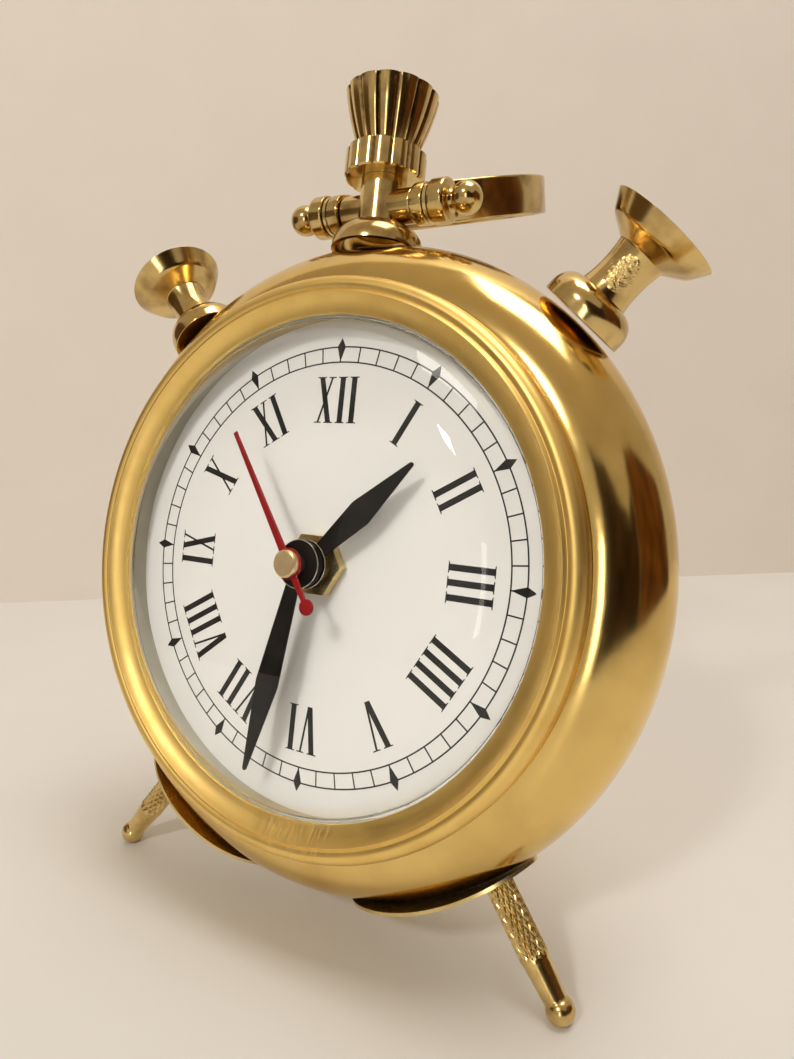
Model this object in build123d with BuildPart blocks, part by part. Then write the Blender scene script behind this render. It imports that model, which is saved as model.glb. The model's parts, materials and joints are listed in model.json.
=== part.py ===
"""Brass table clock shaped like a pocket watch, leaning back on three ball feet.

The clock is drawn upright: X to the viewer's right, Y from the dial to the back, Z up through XII,
with zero at the middle of the dial's front face. The last lines lean it back onto its feet and put
the zero on the table, under the middle of the whole clock.
"""

import os
from math import asin, cos, degrees, radians, sin, sqrt, tan

from build123d import *

# Stance
lean_deg = 11.6
foot_spread_deg = 37.0
foot_flat_depth = 0.25

# Barrel case, spun from sheet
barrel_rise = 11.8
barrel_bulge = 13.5
case_wall = 1.0

# Back of the case and its push-fit cover
back_width = 21.2
back_rise = 2.2
knob_room = 2.85
cover_flange = 3.0
cover_wall = 0.8
cover_dome = 2.6
cover_skirt = 5.0

# Bezel
lip_radius = 52.7
lip_thickness = 0.95
flare_width = 4.6
ridge_height = 2.3
groove_depth = 0.6
groove_pitch = 0.8
roll_radius = 2.3
seam_band = 2.75
skirt_inset = 2.7
skirt_wall = 1.1

# Glass, spacer ring and dial
glass_flange = 1.0
glass_wall = 1.1
glass_crown = 1.0
glass_turn = 12.4
glass_gap = 0.85
spacer_height = 5.0
spacer_width = 3.15
dial_thickness = 0.8
retainer_thickness = 1.2
retainer_width = 2.3

# Crown, its stem and its seat
seat_radius = 10.7
seat_height = 6.0
seat_wall = 1.1
seat_sink = 0.65
stem_radius = 5.25
stem_length = 10.6
collar_radius = 9.35
collar_height = 6.4
crown_neck_radius = 7.0
crown_neck_height = 0.7
cup_belly_radius = 9.3
cup_rim_radius = 10.8
cup_height = 12.6
cup_recess = 2.0
cup_wall = 1.6
crown_flutes = 14
flute_depth = 0.7

# Bow and its two ball-ended screws
pin_rise = 4.15
bow_rest_deg = 24.0
bow_outer_radius = 27.5
bow_thickness = 2.4
bow_width = 9.2
bow_gap = 0.5
eye_inset = 9.65
eye_thickness = 3.0
boss_radius = 3.9
shank_radius = 1.95
screw_collar_radius = 4.9
screw_collar_length = 3.8
screw_neck_radius = 2.2
screw_neck_length = 1.0
screw_ball_radius = 3.6
washer_radius = 4.4
washer_thickness = 0.8
screw_bite = 2.5

# Trumpet ornaments
pusher_angle_deg = 42.3
pusher_collar_radius = 9.4
pusher_collar_edge = 1.8
pusher_collar_height = 6.2
pusher_collar_gap = 0.6
pusher_waist_radius = 4.9
pusher_end_radius = 5.4
pusher_neck_length = 9.6
pusher_cup_radius = 12.0
pusher_cup_height = 6.0
pusher_step_radius = 9.6
pusher_step_height = 2.4
pusher_dish_depth = 3.6
pusher_rim = 0.9

# Feet, saddle plates and studs
foot_length = 25.0
foot_shaft_length = 15.0
foot_top_radius = 3.0
foot_tip_radius = 2.35
foot_ball_radius = 2.9
plate_thickness = 0.7
plate_gap = 0.1
plate_inner_deg = 10.0
plate_outer_deg = 44.0
plate_half_width = 9.6
stud_radius = 2.0
stud_tail = 0.6
nut_flats = 7.0
nut_height = 3.0

# Quartz movement housing
gasket_thickness = 1.0
gasket_radius = 9.0
movement_corner = 4.0
movement_wall = 1.2
stem_wall = 1.35
stem_tail = 1.5
stem_washer_radius = 6.1
stem_washer_thickness = 0.5
hex_nut_flats = 12.6
hex_nut_height = 2.4

# Hands
hour_angle_deg = 46.0
minute_angle_deg = 191.0
second_angle_deg = 326.0
hand_thickness = 0.5
hour_hand_gap = 0.4
minute_hand_gap = 2.1
second_hand_gap = 2.8
hour_length = 32.8
hour_belly = 17.3
minute_inset = 6.1
minute_belly = 26.8
hand_half_width = 2.95
hand_neck_half_width = 1.5
hand_tip_half_width = 0.5
hour_hub_radius = 5.2
minute_hub_radius = 5.2
second_length = 32.5
second_tail = 10.0
second_half_width = 0.95
second_end_half_width = 0.5
second_hub_radius = 3.3
paddle_radius = 1.7
cap_radius = 2.9
cap_bevel = 0.35
cap_height = 1.4

# Arbors and tubes, one inside the other
hour_tube_wall = 0.6
minute_tube_wall = 0.8
second_arbor_radius = 1.1
arbor_radius = 0.6
arbor_gap = 0.5

# Wheels and pinions
pinion_teeth = 8
rotor_wheel_teeth = 40
second_wheel_teeth = 48
third_wheel_teeth = 60
minute_wheel_teeth = 64
cannon_teeth = 10
motion_wheel_teeth = 30
hour_wheel_teeth = 32
rotor_module = 0.3
slow_module = 0.3
motion_module = 0.45
wheel_thickness = 0.8
pinion_length = 1.6
layer_pitch = 2.0
first_layer = 0.8
third_direction_deg = 170.0
intermediate_direction_deg = 60.0
rotor_direction_deg = 100.0
motion_direction_deg = 340.0
post_radius = 0.8
magnet_radius = 2.3
magnet_length = 3.0
knob_radius = 4.5
knob_height = 4.0
knob_gap = 0.5

# Motor, circuit and battery
stator_thickness = 0.8
stator_gap = 0.5
stator_width = 9.0
coil_radius = 3.8
coil_length = 17.0
board_width = 13.0
board_height = 9.0
board_thickness = 1.0
board_margin = 2.8
lid_gap = 0.25
battery_radius = 7.1
battery_length = 49.2
battery_nub_radius = 2.6
battery_nub_length = 1.2
contact_thickness = 0.4
contact_width = 9.0
contact_room = 1.6
battery_gap = 1.9
bay_gap = 0.5

# Fits
slip = 0.05
run = 0.05
side_play = 0.3
press = 0.02

# Tubes and stem, from the middle outwards
minute_tube_radius = second_arbor_radius + run + minute_tube_wall
hour_tube_radius = minute_tube_radius + run + hour_tube_wall
stem_bore_radius = hour_tube_radius + run
thread_radius = stem_bore_radius + stem_wall

# Hands, from the dial forwards
stem_front = stem_washer_thickness + hex_nut_height + stem_tail
hour_hand_front = stem_front + hour_hand_gap + hand_thickness
minute_hand_front = hour_hand_front + minute_hand_gap + hand_thickness
second_hand_front = minute_hand_front + second_hand_gap + hand_thickness
minute_length = lip_radius - minute_inset

# Wheels: the distances between their arbors, and their layers from the dial backwards
tooth_top = 0.75
tooth_root = 1.05
minute_wheel_reach = slow_module * (minute_wheel_teeth / 2 + tooth_top)
third_radius = slow_module * (pinion_teeth + minute_wheel_teeth) / 2
third_module = 2 * third_radius / (pinion_teeth + third_wheel_teeth)
intermediate_radius = minute_wheel_reach + arbor_gap + arbor_radius
fast_module = 2 * intermediate_radius / (pinion_teeth + second_wheel_teeth)
rotor_radius = rotor_module * (pinion_teeth + rotor_wheel_teeth) / 2
motion_radius = motion_module * (cannon_teeth + motion_wheel_teeth) / 2
motion_drop = -motion_radius * sin(radians(motion_direction_deg))
movement_y = dial_thickness + gasket_thickness
inner_front_y = movement_y + movement_wall
hour_layer = inner_front_y + first_layer
motion_layer = hour_layer + layer_pitch
minute_layer = motion_layer + layer_pitch
third_layer = minute_layer + layer_pitch
second_layer = third_layer + layer_pitch
intermediate_layer = second_layer + layer_pitch

# Housing, round the coil, the wheels and the battery
stator_y = minute_layer + (magnet_length - stator_thickness) / 2
coil_y = stator_y + stator_thickness + slip
inner_back_y = coil_y + 2 * coil_radius + lid_gap
movement_back_y = inner_back_y + movement_wall
motion_wheel_reach = motion_module * (motion_wheel_teeth / 2 + tooth_top)
battery_height = -(motion_drop + motion_wheel_reach + battery_gap + battery_radius)
inside_width = battery_length + battery_nub_length + 2 * contact_room
inside_height = 2 * (battery_radius + bay_gap - battery_height)
movement_width = inside_width + 2 * movement_wall
movement_height = inside_height + 2 * movement_wall
knob_y = movement_back_y + slip + knob_gap

# Front of the case, from the dial forwards and from the lip outwards
lip_back_y = -spacer_height - glass_flange - slip
lip_front_y = lip_back_y - lip_thickness
ridge_y = lip_front_y - ridge_height
roll_y = ridge_y + groove_depth / 3
front_y = roll_y + roll_radius + seam_band + slip
ridge_radius = lip_radius + flare_width
seam_radius = ridge_radius + 2 * groove_pitch + roll_radius
skirt_radius = seam_radius - skirt_inset
skirt_end_y = dial_thickness + retainer_thickness + slip
liner_radius = skirt_radius - skirt_wall - slip

# Barrel and back of the case, round the movement
case_radius = seam_radius + barrel_rise
case_bore_radius = skirt_radius + slip
rear_opening_radius = seam_radius - back_width
back_y = knob_y + knob_height + knob_room
rear_y = back_y - back_rise
case_half_depth = (rear_y - front_y) / 2
mid_y = (rear_y + front_y) / 2
barrel_ring = case_radius - barrel_bulge
barrel_half = case_half_depth / sqrt(1 - ((seam_radius - barrel_ring) / barrel_bulge) ** 2)
hole_radius = stud_radius + slip

# Crown and bow, up from the case
seat_rim_z = case_radius - seat_sink
stem_foot_z = seat_rim_z + seat_height
pin_z = stem_foot_z + pin_rise
crown_z = stem_foot_z + stem_length
cup_z = crown_z + collar_height + crown_neck_height
washer_x = eye_inset + eye_thickness + side_play
bow_centre = sqrt(bow_outer_radius**2 - washer_x**2) + washer_radius + bow_gap

# Feet, down to the table
foot_seat = case_radius + plate_gap + plate_thickness
lean = radians(lean_deg)
ball_drop = (foot_seat + foot_length) * cos(radians(foot_spread_deg))
stand_height = sin(lean) * mid_y + cos(lean) * ball_drop + foot_ball_radius - foot_flat_depth
rear_reach = barrel_half + foot_length
rear_fall = stand_height + foot_flat_depth - foot_ball_radius - sin(lean) * mid_y - cos(lean) * barrel_ring
rear_foot_deg = degrees(asin(rear_fall / rear_reach)) - lean_deg
rear_start = Vector(0, mid_y, -barrel_ring)
rear_dir = Vector(0, cos(radians(rear_foot_deg)), -sin(radians(rear_foot_deg)))

pieces = []

AXIAL = Plane(origin=(0, 0, 0), x_dir=(-1, 0, 0), z_dir=(0, 0, -1))
TABLE_UP = Vector(0, -sin(lean), cos(lean))


def facing(y):
    """Plane across the clock's axis at depth y, seen from the front with X right and Z up."""
    return Plane.XZ.offset(-y)


def polar(radius, angle_deg):
    """Point on a facing plane at a radius and an angle from X towards Z."""
    return (radius * cos(radians(angle_deg)), radius * sin(radians(angle_deg)))


def clock_dir(angle_deg):
    """Outward direction at a clockwise angle from XII."""
    return Vector(sin(radians(angle_deg)), 0, cos(radians(angle_deg)))


def spoke(angle_deg, radius=0.0):
    """Plane through the case's middle whose second axis points outwards at a clock angle."""
    outwards = clock_dir(angle_deg)
    start = Vector(0, mid_y, 0) + outwards * radius
    return Plane(origin=start, x_dir=(outwards.Z, 0, -outwards.X), z_dir=(0, -1, 0))


def axis_of(plane):
    """The second axis of a plane, as an axis to turn a profile about."""
    return Axis(plane.origin, plane.y_dir)


def keep(builder, label):
    """Name a finished piece and list it for writing."""
    builder.part.label = label
    pieces.append(builder)


def tooth_ring(teeth, module, phase_deg):
    """Draw a toothed disc with one tooth centred at the phase angle.

    The teeth are trapezoids, thinner than half a pitch, which leaves room for the mesh.
    """
    pitch_radius = module * teeth / 2
    root = (pitch_radius - tooth_root * module, 0.27)
    top = (pitch_radius + tooth_top * module, 0.07)
    rows = (root, (pitch_radius, 0.19), top)
    step = 360 / teeth
    outline = []
    for tooth in range(teeth):
        centre = phase_deg + tooth * step
        outline += [polar(radius, centre - half * step) for radius, half in rows]
        outline += [polar(radius, centre + half * step) for radius, half in reversed(rows)]
    Polygon(*outline, align=None)


def disc_at(y, length, radius, centre=(0, 0), mode=Mode.ADD):
    """Add or cut a round bar that runs back from depth y."""
    with BuildSketch(facing(y)) as disc:
        with Locations(centre):
            Circle(radius)
    extrude(disc.sketch, amount=-length, mode=mode)


def gear_at(y, length, teeth, module, centre, phase_deg):
    """Add a toothed disc that runs back from depth y."""
    with BuildSketch(facing(y)) as toothed_disc:
        with Locations(centre):
            tooth_ring(teeth, module, phase_deg)
    extrude(toothed_disc.sketch, amount=-length)


def gap_phase(direction_deg, teeth):
    """Phase that puts the gap of a wheel on the line towards its partner."""
    return direction_deg + 180 / teeth


# Case
with BuildPart() as case_shell:
    with BuildSketch(AXIAL):
        with BuildLine():
            outer_deg = degrees(asin(case_half_depth / barrel_half))
            inner_deg = degrees(asin((case_half_depth - case_wall) / (barrel_half - case_wall)))
            outer = EllipticalCenterArc(
                (barrel_ring, mid_y), barrel_bulge, barrel_half, -outer_deg, arc_size=2 * outer_deg
            )
            inner = EllipticalCenterArc(
                (barrel_ring, mid_y),
                barrel_bulge - case_wall,
                barrel_half - case_wall,
                inner_deg,
                arc_size=-2 * inner_deg,
            )
            back = Line(outer @ 1, (rear_opening_radius, back_y))
            back_edge = Line(back @ 1, (rear_opening_radius, back_y - case_wall))
            Line(back_edge @ 1, inner @ 0)
            Polyline(inner @ 1, (case_bore_radius, front_y + case_wall), (case_bore_radius, front_y), outer @ 0)
        make_face()
    revolve(axis=Axis.Y)
    for angle in (0, pusher_angle_deg, -pusher_angle_deg, 180 - foot_spread_deg, 180 + foot_spread_deg):
        with BuildSketch(Plane(origin=spoke(angle, barrel_ring).origin, z_dir=clock_dir(angle))):
            Circle(hole_radius)
    with BuildSketch(Plane(origin=rear_start, z_dir=rear_dir)):
        Circle(hole_radius)
    extrude(amount=barrel_half + case_wall, mode=Mode.SUBTRACT)
keep(case_shell, "case_shell")

# Cover that pushes into the back of the case
cover_seat_y = back_y + slip
cover_edge_radius = rear_opening_radius + cover_flange
cover_fit_radius = rear_opening_radius - slip
with BuildPart() as rear_cover:
    with BuildSketch(AXIAL):
        with BuildLine():
            dome = TangentArc(
                (0, cover_seat_y + cover_wall + cover_dome),
                (rear_opening_radius, cover_seat_y + cover_wall),
                tangent=(1, 0),
            )
            rim = Polyline(
                dome @ 1,
                (cover_edge_radius, cover_seat_y + cover_wall),
                (cover_edge_radius, cover_seat_y),
                (cover_fit_radius, cover_seat_y),
                (cover_fit_radius, cover_seat_y - cover_skirt),
                (cover_fit_radius - cover_wall, cover_seat_y - cover_skirt),
                (cover_fit_radius - cover_wall, cover_seat_y),
            )
            hollow = TangentArc((0, cover_seat_y + cover_dome), rim @ 1, tangent=(1, 0))
            Line(hollow @ 0, dome @ 0)
        make_face()
    revolve(axis=Axis.Y)
keep(rear_cover, "rear_cover")

# Bezel: a hollow flare from the lip, a sharp ridge, a groove and a broad rolled ridge
with BuildPart() as bezel:
    with BuildSketch(AXIAL):
        with BuildLine():
            flare = SagittaArc((lip_radius, lip_front_y), (ridge_radius, ridge_y), ridge_height / 6)
            groove = Polyline(
                flare @ 1,
                (ridge_radius + groove_pitch, ridge_y + groove_depth),
                (ridge_radius + 2 * groove_pitch, roll_y),
            )
            roll = RadiusArc(groove @ 1, (seam_radius, roll_y + roll_radius), roll_radius)
            Polyline(
                roll @ 1,
                (seam_radius, front_y - slip),
                (skirt_radius, front_y - slip),
                (skirt_radius, skirt_end_y),
                (skirt_radius - skirt_wall, skirt_end_y),
                (skirt_radius - skirt_wall, lip_back_y),
                (lip_radius, lip_back_y),
                flare @ 0,
            )
        make_face()
    revolve(axis=Axis.Y)
keep(bezel, "bezel")

# Glass: nearly flat in front, curved down to a flange behind the lip
glass_front_y = lip_back_y + slip
glass_edge_radius = lip_radius - side_play
glass_flat_radius = glass_edge_radius - glass_turn
glass_top_y = glass_crown - glass_wall - second_hand_front - slip - cap_height - glass_gap
with BuildPart() as glass:
    with BuildSketch(AXIAL):
        with BuildLine():
            face = TangentArc((0, glass_top_y - glass_crown), (glass_flat_radius, glass_top_y), tangent=(1, 0))
            side = TangentArc(face @ 1, (glass_edge_radius, glass_front_y), tangent=face % 1)
            foot_line = Polyline(
                side @ 1,
                (liner_radius, glass_front_y),
                (liner_radius, glass_front_y + glass_flange),
                (glass_edge_radius - glass_wall, glass_front_y + glass_flange),
            )
            inner_face = TangentArc(
                (0, glass_top_y - glass_crown + glass_wall),
                (glass_flat_radius, glass_top_y + glass_wall),
                tangent=(1, 0),
            )
            inner_side = TangentArc(
                inner_face @ 1, (glass_edge_radius - glass_wall, glass_front_y), tangent=inner_face % 1
            )
            Line(inner_side @ 1, foot_line @ 1)
            Line(inner_face @ 0, face @ 0)
        make_face()
    revolve(axis=Axis.Y)
keep(glass, "glass")

# Spacer ring, dial and the ring that holds them in the bezel
with BuildPart() as spacer_ring:
    with BuildSketch(facing(-spacer_height)):
        Circle(liner_radius)
        Circle(liner_radius - spacer_width, mode=Mode.SUBTRACT)
    extrude(amount=-spacer_height)
keep(spacer_ring, "spacer_ring")

with BuildPart() as dial:
    with BuildSketch(facing(0)):
        Circle(liner_radius)
        Circle(thread_radius + slip, mode=Mode.SUBTRACT)
    extrude(amount=-dial_thickness)
keep(dial, "dial")

with BuildPart() as retaining_ring:
    with BuildSketch(facing(dial_thickness)):
        Circle(liner_radius)
        Circle(liner_radius - retainer_width, mode=Mode.SUBTRACT)
    extrude(amount=-retainer_thickness)
keep(retaining_ring, "retaining_ring")

# Crown seat: a hollow dome that stands on the case
crown_plane = spoke(0)
crown_axis = axis_of(crown_plane)
with BuildPart() as crown_seat:
    with BuildSketch(crown_plane):
        with BuildLine():
            bell = EllipticalCenterArc((stem_radius, seat_rim_z), seat_radius - stem_radius, seat_height, arc_size=90)
            bell_hollow = EllipticalCenterArc(
                (stem_radius, seat_rim_z), seat_radius - stem_radius - seat_wall, seat_height - seat_wall, arc_size=90
            )
            Line(bell @ 0, bell_hollow @ 0)
            Polyline(bell @ 1, (hole_radius, stem_foot_z), (hole_radius, stem_foot_z - seat_wall), bell_hollow @ 1)
        make_face()
    revolve(axis=crown_axis)
keep(crown_seat, "crown_seat")

# Stem with its stud into the case, side bosses for the bow and a stud for the crown
crown_stud_radius = stud_radius
crown_stud_length = collar_height
nut_corner_share = nut_flats / sqrt(3) / (barrel_half - case_wall)
nut_seat = barrel_ring + (barrel_bulge - case_wall) * sqrt(1 - nut_corner_share**2) - slip
stud_end = nut_seat - nut_height - stud_tail
boss_end = eye_inset - side_play
with BuildPart() as crown_stem:
    with BuildSketch(crown_plane):
        with BuildLine():
            Polyline(
                (0, stud_end),
                (stud_radius, stud_end),
                (stud_radius, stem_foot_z),
                (stem_radius, stem_foot_z),
                (stem_radius, crown_z),
                (crown_stud_radius, crown_z),
                (crown_stud_radius, crown_z + crown_stud_length),
                (0, crown_z + crown_stud_length),
                close=True,
            )
        make_face()
    revolve(axis=crown_axis)
    with BuildSketch(Plane(origin=(0, mid_y, pin_z), z_dir=(1, 0, 0))):
        Circle(boss_radius)
    extrude(amount=boss_end, both=True)
    with BuildSketch(Plane(origin=(0, mid_y, pin_z), z_dir=(1, 0, 0))):
        Circle(shank_radius + press)
    extrude(amount=boss_end, both=True, mode=Mode.SUBTRACT)
    with BuildSketch(Plane(origin=(0, mid_y, pin_z), z_dir=(1, 0, 0))):
        Circle(shank_radius + press)
    extrude(amount=screw_bite - press, both=True)
keep(crown_stem, "crown_stem")

# Crown: a fluted collar with a fluted cup above it


def flute_ring(radius):
    """Draw a disc with flutes round its rim."""
    step = 180 / crown_flutes
    rim_points = [polar(radius - flute_depth * (n % 2), n * step) for n in range(2 * crown_flutes)]
    Polygon(*rim_points, align=None)


with BuildPart() as crown:
    with BuildSketch(Plane(origin=(0, mid_y, crown_z))):
        flute_ring(collar_radius)
    extrude(amount=collar_height)
    with BuildSketch(Plane(origin=(0, mid_y, crown_z + collar_height))):
        Circle(crown_neck_radius - flute_depth)
    extrude(amount=crown_neck_height)
    with BuildSketch(Plane(origin=(0, mid_y, cup_z))):
        flute_ring(crown_neck_radius)
    with BuildSketch(Plane(origin=(0, mid_y, cup_z + cup_height / 2))):
        flute_ring(cup_belly_radius)
    with BuildSketch(Plane(origin=(0, mid_y, cup_z + cup_height))):
        flute_ring(cup_rim_radius)
    loft(ruled=True)
    with BuildSketch(Plane(origin=(0, mid_y, cup_z + cup_height))):
        Circle(cup_rim_radius - flute_depth - cup_wall)
    extrude(amount=-cup_recess, taper=30, mode=Mode.SUBTRACT)
    with BuildSketch(Plane(origin=(0, mid_y, crown_z))):
        Circle(crown_stud_radius + press)
    extrude(amount=crown_stud_length + press, mode=Mode.SUBTRACT)
keep(crown, "crown")

# Bow: a flat strap bent to a ring, with an eye at each end
bow_up = radians(bow_rest_deg)
bow_plane = Plane(origin=(0, mid_y, pin_z), x_dir=(1, 0, 0), z_dir=(0, -sin(bow_up), cos(bow_up)))
tab_reach = bow_centre - sqrt((bow_outer_radius - bow_thickness) ** 2 - eye_inset**2)
with BuildPart() as bow:
    with BuildSketch(bow_plane):
        with Locations((0, bow_centre)):
            Circle(bow_outer_radius)
            Circle(bow_outer_radius - bow_thickness, mode=Mode.SUBTRACT)
        Rectangle(2 * eye_inset, 2 * tab_reach, mode=Mode.SUBTRACT)
        with Locations((eye_inset, 0), (-eye_inset - eye_thickness, 0)):
            Rectangle(eye_thickness, tab_reach, align=(Align.MIN, Align.MIN))
    extrude(amount=bow_width / 2, both=True)
    for side_x in (eye_inset, -eye_inset - eye_thickness):
        with BuildSketch(Plane(origin=(side_x, mid_y, pin_z), z_dir=(1, 0, 0))):
            Circle(bow_width / 2)
        extrude(amount=eye_thickness)
    with BuildSketch(Plane(origin=(0, mid_y, pin_z), z_dir=(1, 0, 0))):
        Circle(shank_radius + run)
    extrude(amount=bow_outer_radius, both=True, mode=Mode.SUBTRACT)
keep(bow, "bow")

# Ball-ended screws and the washers between them and the bow
collar_x = washer_x + washer_thickness + side_play
ball_rise = sqrt(screw_ball_radius**2 - screw_neck_radius**2)
ball_x = collar_x + screw_collar_length + screw_neck_length + ball_rise
ball_start_deg = degrees(asin(ball_rise / screw_ball_radius))
for hand_side, label in ((1, "bow_screw_right"), (-1, "bow_screw_left")):
    screw_plane = Plane(origin=(0, mid_y, pin_z), x_dir=(0, 0, 1), z_dir=(0, hand_side, 0))
    with BuildPart() as bow_screw:
        with BuildSketch(screw_plane):
            with BuildLine():
                Polyline(
                    (0, screw_bite),
                    (shank_radius, screw_bite),
                    (shank_radius, collar_x),
                    (screw_collar_radius, collar_x),
                    (screw_collar_radius, collar_x + screw_collar_length),
                    (screw_neck_radius, collar_x + screw_collar_length),
                    (screw_neck_radius, collar_x + screw_collar_length + screw_neck_length),
                )
                ball = CenterArc((0, ball_x), screw_ball_radius, -ball_start_deg, arc_size=90 + ball_start_deg)
                Line(ball @ 1, (0, screw_bite))
            make_face()
        revolve(axis=axis_of(screw_plane))
    keep(bow_screw, label)

with BuildPart() as bow_washers:
    for side_x in (washer_x, -washer_x - washer_thickness):
        with BuildSketch(Plane(origin=(side_x, mid_y, pin_z), z_dir=(1, 0, 0))):
            Circle(washer_radius)
            Circle(shank_radius + slip, mode=Mode.SUBTRACT)
        extrude(amount=washer_thickness)
keep(bow_washers, "bow_washers")

# Trumpet ornaments: a domed collar with a flat underside, and a waisted neck with a wide cup
collar_foot = case_radius + pusher_collar_gap
collar_top = collar_foot + pusher_collar_height
cup_foot = collar_top + pusher_neck_length
cup_rim = cup_foot + pusher_cup_height
for angle, name in ((pusher_angle_deg, "right"), (-pusher_angle_deg, "left")):
    pusher_plane = spoke(angle)
    with BuildPart() as pusher_collar:
        with BuildSketch(pusher_plane):
            with BuildLine():
                collar_dome = EllipticalCenterArc(
                    (pusher_end_radius, collar_foot + pusher_collar_edge),
                    pusher_collar_radius - pusher_end_radius,
                    pusher_collar_height - pusher_collar_edge,
                    arc_size=90,
                )
                Polyline(
                    collar_dome @ 1,
                    (hole_radius, collar_top),
                    (hole_radius, collar_foot),
                    (pusher_collar_radius, collar_foot),
                    collar_dome @ 0,
                )
            make_face()
        revolve(axis=axis_of(pusher_plane))
    keep(pusher_collar, f"pusher_collar_{name}")

    with BuildPart() as pusher:
        with BuildSketch(pusher_plane):
            with BuildLine():
                waist = ThreePointArc(
                    (pusher_end_radius, collar_top + slip),
                    (pusher_waist_radius, collar_top + pusher_neck_length / 2),
                    (pusher_end_radius, cup_foot),
                )
                cup_side = Polyline(
                    waist @ 1,
                    (pusher_step_radius, cup_foot + pusher_step_height),
                    (pusher_cup_radius, cup_rim),
                    (pusher_cup_radius - pusher_rim, cup_rim),
                )
                dish = TangentArc((0, cup_rim - pusher_dish_depth), cup_side @ 1, tangent=(1, 0))
                Polyline(
                    dish @ 0,
                    (0, stud_end),
                    (stud_radius, stud_end),
                    (stud_radius, collar_top + slip),
                    waist @ 0,
                )
            make_face()
        revolve(axis=axis_of(pusher_plane))
    keep(pusher, f"pusher_{name}")

# Feet: a tapered shaft with a ball, ground flat where it stands
table = Plane(origin=TABLE_UP * -stand_height, z_dir=TABLE_UP)
front_tail = foot_seat - stud_end
foot_ball_rise = sqrt(foot_ball_radius**2 - foot_tip_radius**2)
foot_ball_deg = degrees(asin(foot_ball_rise / foot_ball_radius))
rear_plane = Plane(
    origin=rear_start + rear_dir * barrel_half,
    x_dir=(1, 0, 0),
    z_dir=(0, sin(radians(rear_foot_deg)), cos(radians(rear_foot_deg))),
)
rear_tail = barrel_half + barrel_ring - stud_end
foot_places = (
    (spoke(180 - foot_spread_deg, foot_seat), front_tail, "foot_right"),
    (spoke(180 + foot_spread_deg, foot_seat), front_tail, "foot_left"),
    (rear_plane, rear_tail, "foot_rear"),
)
for foot_plane, tail, label in foot_places:
    with BuildPart() as foot:
        with BuildSketch(foot_plane):
            with BuildLine():
                Polyline(
                    (0, -tail),
                    (stud_radius, -tail),
                    (stud_radius, slip),
                    (foot_top_radius, slip),
                    (foot_top_radius, foot_shaft_length),
                    (foot_tip_radius, foot_length - foot_ball_rise),
                )
                ball = CenterArc((0, foot_length), foot_ball_radius, -foot_ball_deg, arc_size=90 + foot_ball_deg)
                Line(ball @ 1, (0, -tail))
            make_face()
        revolve(axis=axis_of(foot_plane))
        split(bisect_by=table, keep=Keep.TOP)
    keep(foot, label)

# Saddle plates between the front feet and the case, rolled to the case and pointed at both ends
plate_mid_deg = (plate_inner_deg + plate_outer_deg) / 2
plate_inner_radius = case_radius + plate_gap
plate_half_length = plate_inner_radius * tan(radians((plate_outer_deg - plate_inner_deg) / 2))
for turn, foot_angle, label in (
    (180 - plate_mid_deg, 180 - foot_spread_deg, "foot_plate_right"),
    (180 + plate_mid_deg, 180 + foot_spread_deg, "foot_plate_left"),
):
    with BuildPart() as foot_plate:
        with BuildSketch(facing(mid_y)):
            Circle(plate_inner_radius + plate_thickness)
            Circle(plate_inner_radius, mode=Mode.SUBTRACT)
        extrude(amount=plate_half_width, both=True)
        with BuildSketch(Plane(origin=spoke(turn).origin, x_dir=(0, 1, 0), z_dir=clock_dir(turn))):
            Ellipse(plate_half_width, plate_half_length)
        extrude(amount=2 * case_radius, mode=Mode.INTERSECT)
        with BuildSketch(Plane(origin=spoke(foot_angle).origin, z_dir=clock_dir(foot_angle))):
            Circle(hole_radius)
        extrude(amount=2 * case_radius, mode=Mode.SUBTRACT)
    keep(foot_plate, label)

# Nuts on the studs inside the case
nut_places = [
    Plane(origin=spoke(angle, nut_seat).origin, z_dir=clock_dir(angle))
    for angle in (0, pusher_angle_deg, -pusher_angle_deg, 180 - foot_spread_deg, 180 + foot_spread_deg)
]
nut_places.append(Plane(origin=rear_start + rear_dir * (nut_seat - barrel_ring), z_dir=rear_dir))
with BuildPart() as case_nuts:
    for nut_place in nut_places:
        with BuildSketch(nut_place):
            RegularPolygon(nut_flats / 2, 6, major_radius=False)
            Circle(stud_radius + press, mode=Mode.SUBTRACT)
        extrude(amount=-nut_height)
keep(case_nuts, "case_nuts")

# Movement housing: a tray behind the dial and a lid over its back
third_centre = polar(third_radius, third_direction_deg)
intermediate_centre = polar(intermediate_radius, intermediate_direction_deg)
rotor_step = polar(rotor_radius, rotor_direction_deg)
rotor_centre = (intermediate_centre[0] + rotor_step[0], intermediate_centre[1] + rotor_step[1])
motion_centre = polar(motion_radius, motion_direction_deg)
setter_centre = polar(2 * motion_radius, motion_direction_deg)
battery_y = inner_front_y + battery_radius + slip
battery_bay = 2 * battery_radius + 2 * side_play
with BuildPart() as movement_front:
    with BuildSketch(facing(movement_y)):
        RectangleRounded(movement_width, movement_height, movement_corner)
    extrude(amount=movement_y - inner_back_y)
    with BuildSketch(facing(inner_front_y)):
        RectangleRounded(inside_width, inside_height, movement_corner - movement_wall)
    extrude(amount=inner_front_y - inner_back_y, mode=Mode.SUBTRACT)
    disc_at(movement_y, movement_wall, thread_radius + press, mode=Mode.SUBTRACT)
    disc_at(inner_front_y, motion_layer + pinion_length - inner_front_y, post_radius, motion_centre)
    for centre in (third_centre, intermediate_centre, rotor_centre, setter_centre):
        disc_at(movement_y + movement_wall / 2, movement_wall, arbor_radius + run, centre, Mode.SUBTRACT)
keep(movement_front, "movement_front")

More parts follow.
